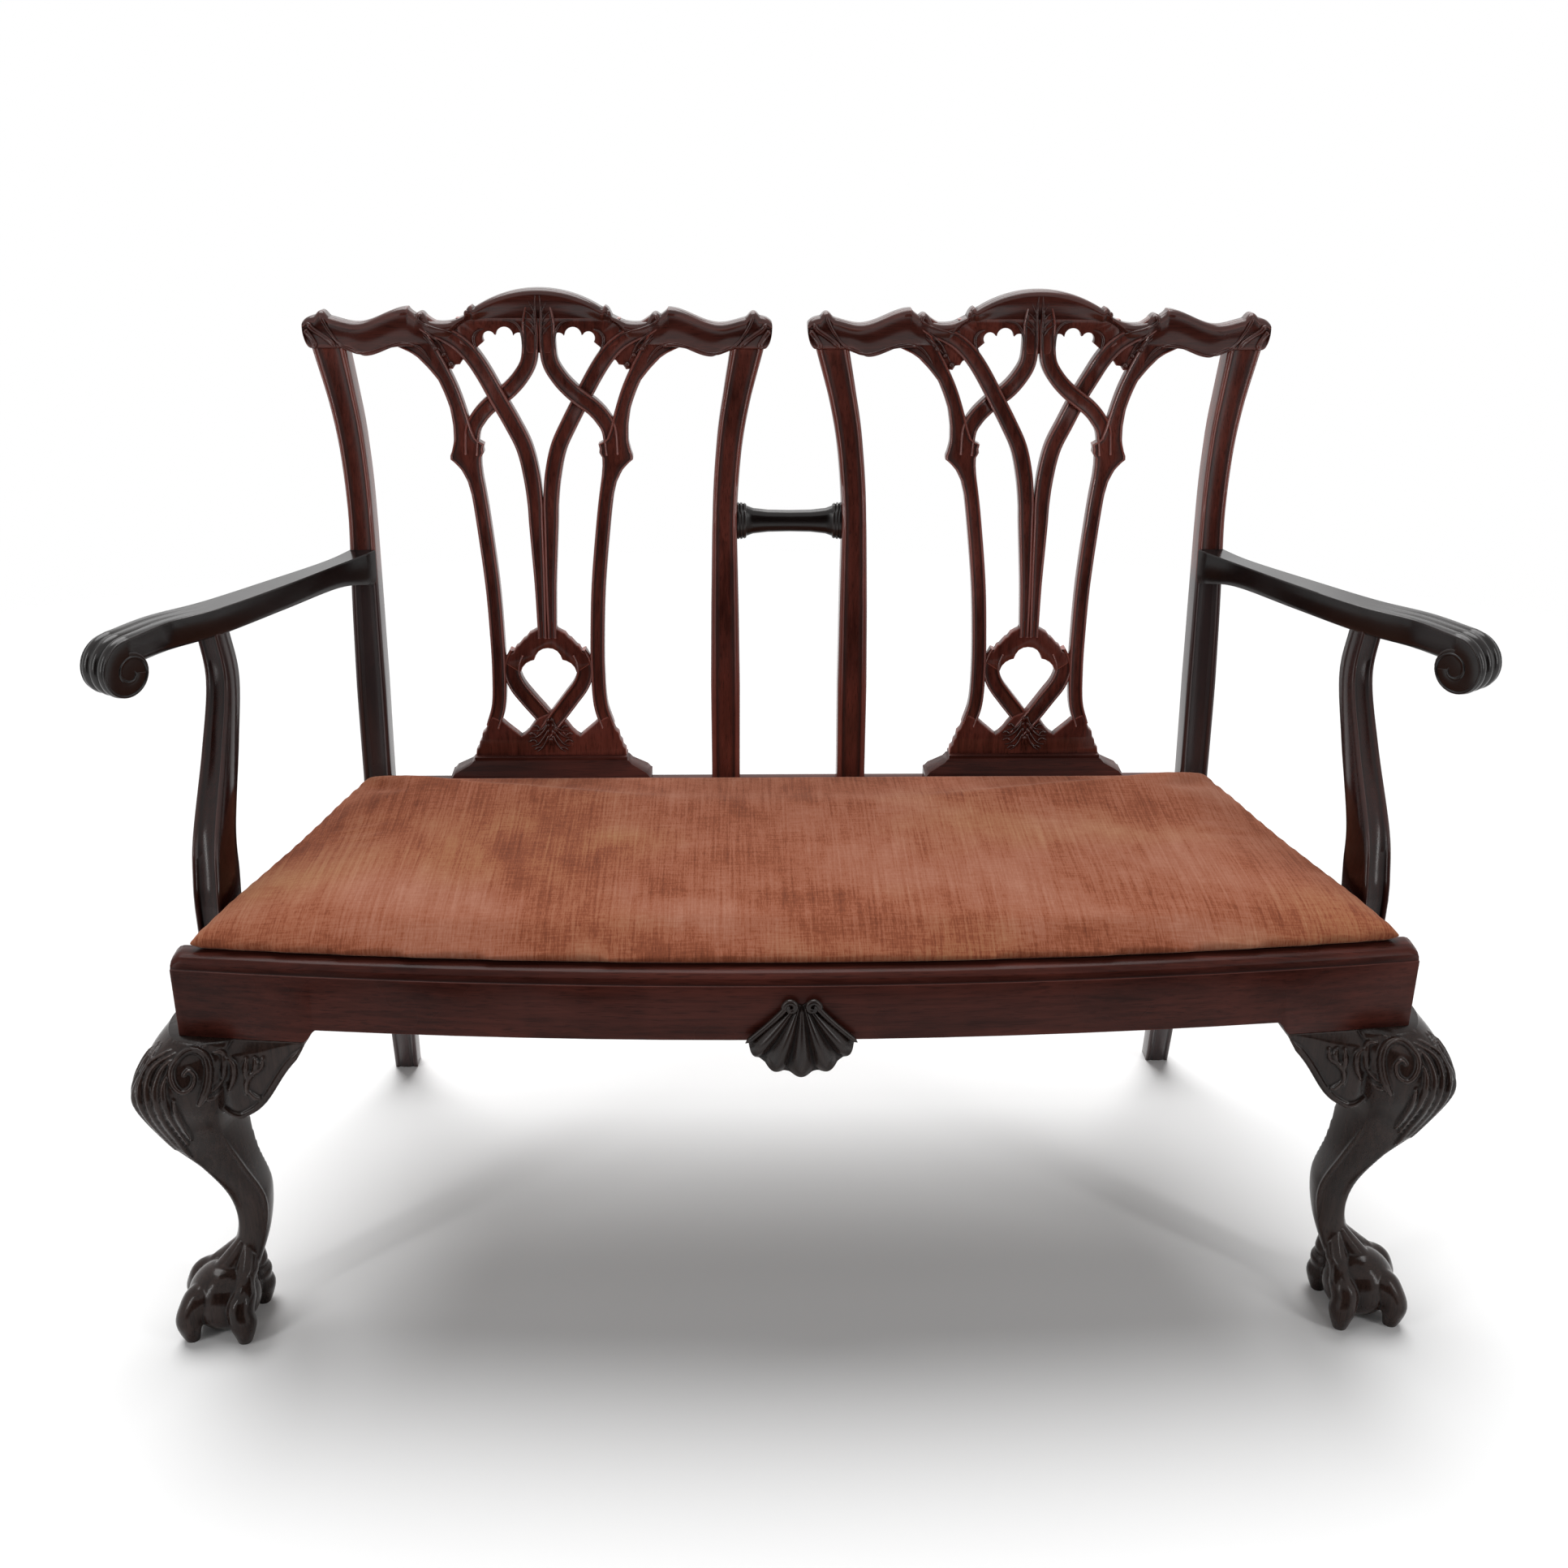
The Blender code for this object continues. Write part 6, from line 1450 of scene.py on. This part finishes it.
    def support(self, side):
        """Bowed support from the side rail up to the arm, with a bead along each front edge."""
        back = side_run()
        out = np.array((back[1], -back[0]))
        foot_y = CORNER_Y + SUPPORT_Y
        foot = np.array((side_x(foot_y), foot_y)) + out * SUPPORT_HALF_THICKNESS
        top = ARM_TOP - ARM_DIP - ARM_THICKNESS
        stations = []
        for rise, outward, backward, size in SUPPORT_BENDS:
            middle = (blend(foot[0], ELBOW_X, outward), blend(foot[1], CORNER_Y + ELBOW_Y, backward),
                      blend(RAIL_TOP, top, rise))
            stations.append((*middle, blend(SUPPORT_TOP_HALF_THICKNESS, SUPPORT_HALF_THICKNESS, size),
                             blend(SUPPORT_TOP_HALF_DEPTH, SUPPORT_HALF_DEPTH, size)))
        lowest = (*foot, RAIL_BOTTOM + SUPPORT_FOOT_RISE, SUPPORT_HALF_THICKNESS, SUPPORT_HALF_DEPTH)
        section = moulded(1, 0.42, 0.30, 0.26, 2.0, 0.3)
        rings = []
        for x, y, z, thick, deep in [lowest] + through(stations, 10):
            middle = np.array((x, y))
            ring = [middle + out * a * thick + back * (b - 1) * deep for a, b in section]
            rings.append([(side * px, py, z) for px, py in ring])
        return lofted(rings)


class SETTEE_OT_legs(bpy.types.Operator):
    """Cabriole front legs with claw-and-ball feet, and their brackets"""
    bl_idname = "settee.legs"
    bl_label = "Legs"

    def execute(self, context):
        wood = context.scene.settee_wood
        finish = mahogany("leg_mahogany", wood)
        for side in (-1, 1):
            name = side_name(side)
            axis = Vector((side * (FRONT_HALF_WIDTH - LEG_INSET_X), CORNER_Y + LEG_INSET_Y, 0))
            talons = [self.talon(side, turn) for turn in TALON_BEARINGS]
            leg = gathered(name, [self.shaft(side), self.ball(side), *talons])
            leg.transform(Matrix.Translation(axis))
            front, flank = self.front_bracket(side), self.side_bracket(side)
            blank = gathered(name, [lofted(front), lofted(flank)])
            lines = self.carving(side, axis, surface_of(leg, blank)) + self.arrises(side, axis)
            lines += [([ring[5] for ring in rings[4:]], BRACKET_BEAD, even) for rings in (front, flank)]
            whole = together(name, leg, blank, ridges(name, lines))
            dress(name + "_front_leg", self.level(fused(whole, wood.voxel)), finish,
                  name + "_front_bracket", name + "_side_bracket")
        return {"FINISHED"}

    def carving(self, side, axis, surface):
        """Scrolls, ribs and leaves on the two outer faces of the knee."""
        lines = []
        for points, radius, taper in KNEE_CARVING:
            front = [(axis.x + side * u / 1000, axis.y, z / 1000) for u, z in points]
            flank = [(axis.x, axis.y - u / 1000, z / 1000) for u, z in points]
            for drawn, towards in ((front, (0, 1, 0)), (flank, (-side, 0, 0))):
                if drawn is flank and min(u for u, z in points) < -KNEE_FLANK:
                    continue
                line = laid(surface, drawn, towards, KNEE_PROUD * radius / 1000)
                if len(line) > 2:
                    lines.append((line, KNEE_THICK * radius / 1000, TAPERS[taper]))
        return lines

    def arrises(self, side, axis):
        """Beads down the two side corners of the leg."""
        front, back, half = self.lines()
        lowest, highest = FOOT_BASE + ARRIS_CLEAR, RAIL_BOTTOM - KNEE_DROP - ARRIS_CLEAR
        lines = []
        for turn in (-1, 1):
            line = []
            for z in [z for z, value in front if lowest < z < highest]:
                out = (along(front, z) + along(back, z)) / 2
                line.append(axis + Vector(self.point(side, out, turn * (along(half, z) - ARRIS_SINK), z)))
            lines.append((line, ARRIS_RADIUS, swell))
        return lines

    def bracket(self, side, start, heading, outward, swell_share):
        """Rings of a knee bracket: from inside the leg, where it is deep and swollen, to a fine tip."""
        rings = []
        for share, depth in through(BRACKET_SHAPE, 4):
            low = RAIL_BOTTOM - BRACKET_DROP * depth
            fading = max(1 - share, 0.0) ** 1.5 if share > 0 else 1 + 0.6 * share
            swollen = BRACKET_SWELL * swell_share * fading
            at = start + heading * BRACKET_LENGTH * share
            face = [(swollen * out, blend(RAIL_BOTTOM, low, down)) for out, down in BRACKET_FACE]
            section = [(0, RAIL_BOTTOM), *face, (swollen * 0.55, low), (-BRACKET_DEPTH, low),
                       (-BRACKET_DEPTH, RAIL_BOTTOM)]
            rings.append([(side * (at + outward * o)[0], (at + outward * o)[1], z) for o, z in section])
        return rings

    def front_bracket(self, side):
        tip, root = [np.array((x, front_y(x))) for x in (BRACKET_TIP, BRACKET_TIP + BRACKET_LENGTH)]
        heading = (tip - root) / np.linalg.norm(tip - root)
        return self.bracket(side, root, heading, np.array((-heading[1], heading[0])), 1.0)

    def side_bracket(self, side):
        heading = side_run()
        y = CORNER_Y + SIDE_BRACKET_Y
        return self.bracket(side, np.array((side_x(y), y)), heading, np.array((heading[1], -heading[0])), 0.6)

    def level(self, mesh):
        """The leg cut off level at the floor and under the rail."""
        bm = joined([mesh])
        for z, up in ((0.0, -1), (RAIL_BOTTOM, 1)):
            geom = bm.verts[:] + bm.edges[:] + bm.faces[:]
            cut = bmesh.ops.bisect_plane(bm, geom=geom, plane_co=(0, 0, z), plane_no=(0, 0, up),
                                         clear_outer=True)
            rim = [part for part in cut["geom_cut"] if isinstance(part, bmesh.types.BMEdge)]
            bmesh.ops.holes_fill(bm, edges=rim)
        bmesh.ops.triangulate(bm, faces=[face for face in bm.faces if len(face.verts) > 4])
        bm.to_mesh(mesh)
        bm.free()
        return mesh

    def point(self, side, out, across, z):
        """A point given by its distance out along the corner's diagonal and across that."""
        root = math.sqrt(0.5)
        return side * (out + across) * root, (across - out) * root, z

    def lines(self):
        """Front and back outlines and half width of a leg, from the rail down into the ball."""
        top = RAIL_BOTTOM
        knee = top - KNEE_DROP
        calf, shin = blend(knee, ANKLE_HEIGHT, 0.36), blend(knee, ANKLE_HEIGHT, 0.68)
        heel = blend(ANKLE_HEIGHT, FOOT_BASE, 0.5)
        front = through([(top, LEG_CORNER), (blend(top, knee, 0.35), blend(LEG_CORNER, KNEE_REACH, 0.66)),
                         (knee, KNEE_REACH), (calf, blend(KNEE_REACH, ANKLE_FRONT, 0.289)),
                         (shin, blend(KNEE_REACH, ANKLE_FRONT, 0.698)), (ANKLE_HEIGHT, ANKLE_FRONT),
                         (heel, blend(ANKLE_FRONT, BALL_REACH, -0.2)),
                         (FOOT_BASE, blend(ANKLE_FRONT, BALL_REACH, 0.6))], 8)
        back = through([(top, LEG_HEEL), (knee, LEG_HEEL), (calf, blend(LEG_HEEL, ANKLE_BACK, -0.05)),
                        (shin, blend(LEG_HEEL, ANKLE_BACK, 0.3)),
                        (ANKLE_HEIGHT, ANKLE_BACK), (heel, blend(ANKLE_BACK, BALL_REACH - BALL_RADIUS, 0.25)),
                        (FOOT_BASE, BALL_REACH - BALL_RADIUS)], 8)
        half = through([(top, KNEE_HALF), (knee, KNEE_HALF), (calf, blend(KNEE_HALF, ANKLE_HALF, 0.86)),
                        (shin, blend(KNEE_HALF, ANKLE_HALF, 1.2)), (ANKLE_HEIGHT, ANKLE_HALF),
                        (heel, 0.83 * ANKLE_HALF), (FOOT_BASE, 0.9 * ANKLE_HALF)], 8)
        return front, back, half

    def shaft(self, side):
        """The cabriole curve from inside the rail to inside the ball."""
        front, back, half = self.lines()
        levels = [RAIL_BOTTOM + 0.004] + [z for z, value in front] + [blend(FOOT_BASE, BALL_RADIUS, 0.8)]
        rings = []
        for z in levels:
            power = along(LEG_POWERS, z)
            near, far, wide = along(front, z), along(back, z), along(half, z)
            ring = []
            for i in range(LEG_POINTS):
                turn = math.tau * i / LEG_POINTS
                out = (near + far) / 2 + (near - far) / 2 * bent(math.cos(turn), power)
                ring.append(self.point(side, out, wide * bent(math.sin(turn), power), z))
            rings.append(ring)
        return lofted(rings)

    def ball(self, side):
        bm = bmesh.new()
        middle = self.point(side, BALL_REACH, 0, BALL_RADIUS - BALL_SINK)
        bmesh.ops.create_uvsphere(bm, u_segments=40, v_segments=24, radius=BALL_RADIUS,
                                  matrix=Matrix.Translation(middle))
        return bm

    def talon(self, side, bearing):
        """A toe that grips the ball, with two knuckles and a claw. The bearing is from the leg's diagonal."""
        front, back, half = self.lines()
        out, z = BALL_REACH, BALL_RADIUS - BALL_SINK
        turn = math.radians(bearing)
        start = blend(FOOT_BASE, ANKLE_HEIGHT, 0.22)
        ankle = (along(front, start) + along(back, start)) / 2
        spread = BALL_RADIUS + TALON_OUT
        path = [(0, 0.02, start + 0.016, 0.45), (0.15, 0.2, start, 0.85), (0.42, 0.42, 1.72 * z, 1.08),
                (0.64, 0.58, 1.52 * z, 1.0), (0.86, 0.78, 1.25 * z, 1.25), (1, 0.92, 0.95 * z, 1.08),
                (1, 0.99, 0.66 * z, 1.1), (1, 1.0, 0.34 * z, 0.85), (1, 0.95, -0.1 * z, 0.5)]
        line = []
        for lean, share, level, thick in path:
            forward = blend(ankle, out, lean) + spread * share * math.cos(turn)
            line.append((forward, spread * share * math.sin(turn), level, thick))
        line = through(line, 6)
        sideways = Vector((-math.sin(turn), math.cos(turn), 0))
        rings = []
        for i, (forward, across, level, thick) in enumerate(line):
            ahead = ahead_of(line, i)
            outward = sideways.cross(Vector(ahead[:3]).normalized()).normalized()
            ring = []
            for a, b in circle(TALON_RADIUS * thick):
                offset = sideways * a + outward * b
                ring.append(self.point(side, forward + offset.x, across + offset.y, level + offset.z))
            rings.append(ring)
        return lofted(rings)


class SETTEE_OT_shell(bpy.types.Operator):
    """Scallop shell on the front rail"""
    bl_idname = "settee.shell"
    bl_label = "Shell"

    def execute(self, context):
        wood = context.scene.settee_wood
        finish = mahogany("shell_mahogany", wood)
        dress("shell_carving", crisp(gathered("shell_carving", [self.shell()]), 60), finish)
        add_piece("shell_curls", ridges("shell_curls", self.curls()), finish, "shell_carving")
        return {"FINISHED"}

    def curls(self):
        """A curl at each upper corner of the shell, from which its edge runs down."""
        lines = []
        for side in (-1, 1):
            for points, radius in ((SHELL_CURL, 0.0032), (SHELL_EDGE, 0.0030)):
                curve = through([(side * x, z) for x, z in points], 6)
                line = [(x, front_y(x) - CURL_PROUD, RAIL_BOTTOM + z) for x, z in curve]
                lines.append((line, radius, even))
        return lines

    def shell(self):
        """Ribs that spread from between the curls to a lobed edge below the rail."""
        hinge = RAIL_BOTTOM + SHELL_TOP
        columns = SHELL_RIBS * SHELL_STEPS
        rings = []
        for share, depth in through(SHELL_SHAPE, 5):
            front, rear = [], []
            for i in range(columns + 1):
                turn = blend(-1, 1, i / columns)
                angle = math.radians(SHELL_HALF_ANGLE * turn)
                rib = abs(math.sin(math.pi * SHELL_RIBS * i / columns)) ** 1.3
                edge = blend(SHELL_DROP, SHELL_SIDE, turn ** 2)
                reach = (edge - SHELL_SCALLOP * (1 - rib) * share) * share
                x, z = reach * math.sin(angle), hinge - reach * math.cos(angle)
                flute = SHELL_FLUTE * (1 - rib) * min(share * 1.2, 1)
                thick = max(SHELL_DEPTH * depth * (1 - 0.3 * turn ** 2) - flute, SHELL_LEAST)
                front.append((x, front_y(x) - thick, z))
                rear.append((x, front_y(x), z))
            rings.append(front + rear[::-1])
        return lofted(rings)


class SETTEE_OT_seat(bpy.types.Operator):
    """Stuffed pad in velvet, with its webs and cloths"""
    bl_idname = "settee.seat"
    bl_label = "Seat"

    def execute(self, context):
        seat = context.scene.settee_seat
        jute = woven("jute", (0.35, 0.24, 0.13), 0.0022)
        cambric = woven("cambric", (0.02, 0.02, 0.02), 0.0012)
        for node, solid in frame["nodes"].items():
            if "_web_" in node or node == "seat_hessian":
                cover(solid.data, jute)
        cover(frame["nodes"]["seat_dust_cover"].data, cambric)
        pad = self.stuffed(context, seat)
        finish = velvet("rust_velvet", seat.rust, seat.shade, seat.bloom)
        piece = add_piece("velvet_pad", pad, finish, "seat_pad", ["seat_pad"])
        return {"FINISHED"}

    def stuffed(self, context, seat):
        """The pad's cloth, blown up from inside and held at its underside."""
        low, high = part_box("seat_pad")
        mesh = baked("velvet", mesh_from(merged("seat_pad"), "velvet"), skin(seat.voxel))
        self.roll_over(mesh, high.y)
        self.simulate(context, seat, mesh, low.z + PAD_HELD * (high.z - low.z))
        return baked("velvet", mesh, ("SUBSURF", {"levels": 1, "render_levels": 1}))

    def roll_over(self, mesh, rear):
        """Draws the edge of the cloth forwards over the front lip, and fills it up at the back."""
        bm = joined([mesh])
        for vert in bm.verts:
            x, y, z = vert.co
            vert.co.y -= PAD_OVER * ease(1 - (y - front_y(x) - PAD_LIP) / PAD_FADE)
            vert.co.z += PAD_RISE * ease((z - RAIL_TOP) / 0.02) * ease(1 - (rear - y) / (2 * PAD_FADE))
        for turn in range(PAD_SMOOTHING):
            bmesh.ops.smooth_vert(bm, verts=bm.verts, factor=0.5, use_axis_x=True, use_axis_y=True,
                                  use_axis_z=True)
        for vert in bm.verts:
            if vert.co.y < front_y(vert.co.x) + PAD_LIP + PAD_BEHIND_LIP:
                vert.co.z = max(vert.co.z, RAIL_TOP + PAD_CLEAR)
        bm.to_mesh(mesh)
        bm.free()

    def simulate(self, context, seat, mesh, held_below):
        """Blows the cloth up. No point goes further than the most swell."""
        piece = placed("velvet", mesh)
        start = np.array([v.co for v in mesh.vertices])
        held = piece.vertex_groups.new(name="held")
        held.add([i for i, z in enumerate(start[:, 2]) if z < held_below], 1.0, "REPLACE")
        cloth = piece.modifiers.new("cloth", "CLOTH")
        cloth.settings.effector_weights.gravity = 0
        cloth.settings.use_pressure = True
        cloth.settings.uniform_pressure_force = seat.pressure
        cloth.settings.vertex_group_mass = "held"
        cloth.point_cache.frame_start = 1
        cloth.point_cache.frame_end = seat.frames
        for step in range(1, seat.frames + 1):
            context.scene.frame_set(step)
        depsgraph = context.evaluated_depsgraph_get()
        end = np.array([v.co for v in piece.evaluated_get(depsgraph).data.vertices])
        move = end - start
        far = np.maximum(np.linalg.norm(move, axis=1, keepdims=True), 1e-9)
        capped = start + move * np.minimum(seat.swell / far, 1.0)
        bpy.data.objects.remove(piece)
        mesh.vertices.foreach_set("co", capped.ravel())
        mesh.update()
        context.scene.frame_set(1)


class SETTEE_OT_screws(bpy.types.Operator):
    """Screws of the frame"""
    bl_idname = "settee.screws"
    bl_label = "Screws"

    def execute(self, context):
        finish = steel("steel")
        for node, solid in frame["nodes"].items():
            if "screw" in node:
                cover(solid.data, finish)
        return {"FINISHED"}


class SETTEE_PT_panel(bpy.types.Panel):
    """Steps that dress the settee"""
    bl_idname = "SETTEE_PT_panel"
    bl_label = "Settee"
    bl_space_type = "VIEW_3D"
    bl_region_type = "UI"
    bl_category = "Settee"

    def draw(self, context):
        for step in STEPS:
            self.layout.operator(step.bl_idname)


SETTINGS = {"settee_wood": SetteeWood, "settee_seat": SetteeSeat, "settee_stage": SetteeStage}
STEPS = (SETTEE_OT_stage, SETTEE_OT_joinery, SETTEE_OT_backs, SETTEE_OT_arms, SETTEE_OT_legs, SETTEE_OT_shell,
         SETTEE_OT_seat, SETTEE_OT_screws)


def register():
    for each in (*SETTINGS.values(), *STEPS, SETTEE_PT_panel):
        bpy.utils.register_class(each)
    for name, group in SETTINGS.items():
        setattr(bpy.types.Scene, name, PointerProperty(type=group))


def unregister():
    for name in SETTINGS:
        delattr(bpy.types.Scene, name)
    for each in (SETTEE_PT_panel, *reversed(STEPS), *reversed(SETTINGS.values())):
        bpy.utils.unregister_class(each)


def main():
    register()
    bpy.ops.settee.stage()
    bpy.ops.settee.joinery()
    bpy.ops.settee.backs()
    bpy.ops.settee.arms()
    bpy.ops.settee.legs()
    bpy.ops.settee.shell()
    bpy.ops.settee.seat()
    bpy.ops.settee.screws()


if __name__ == "__main__":
    main()
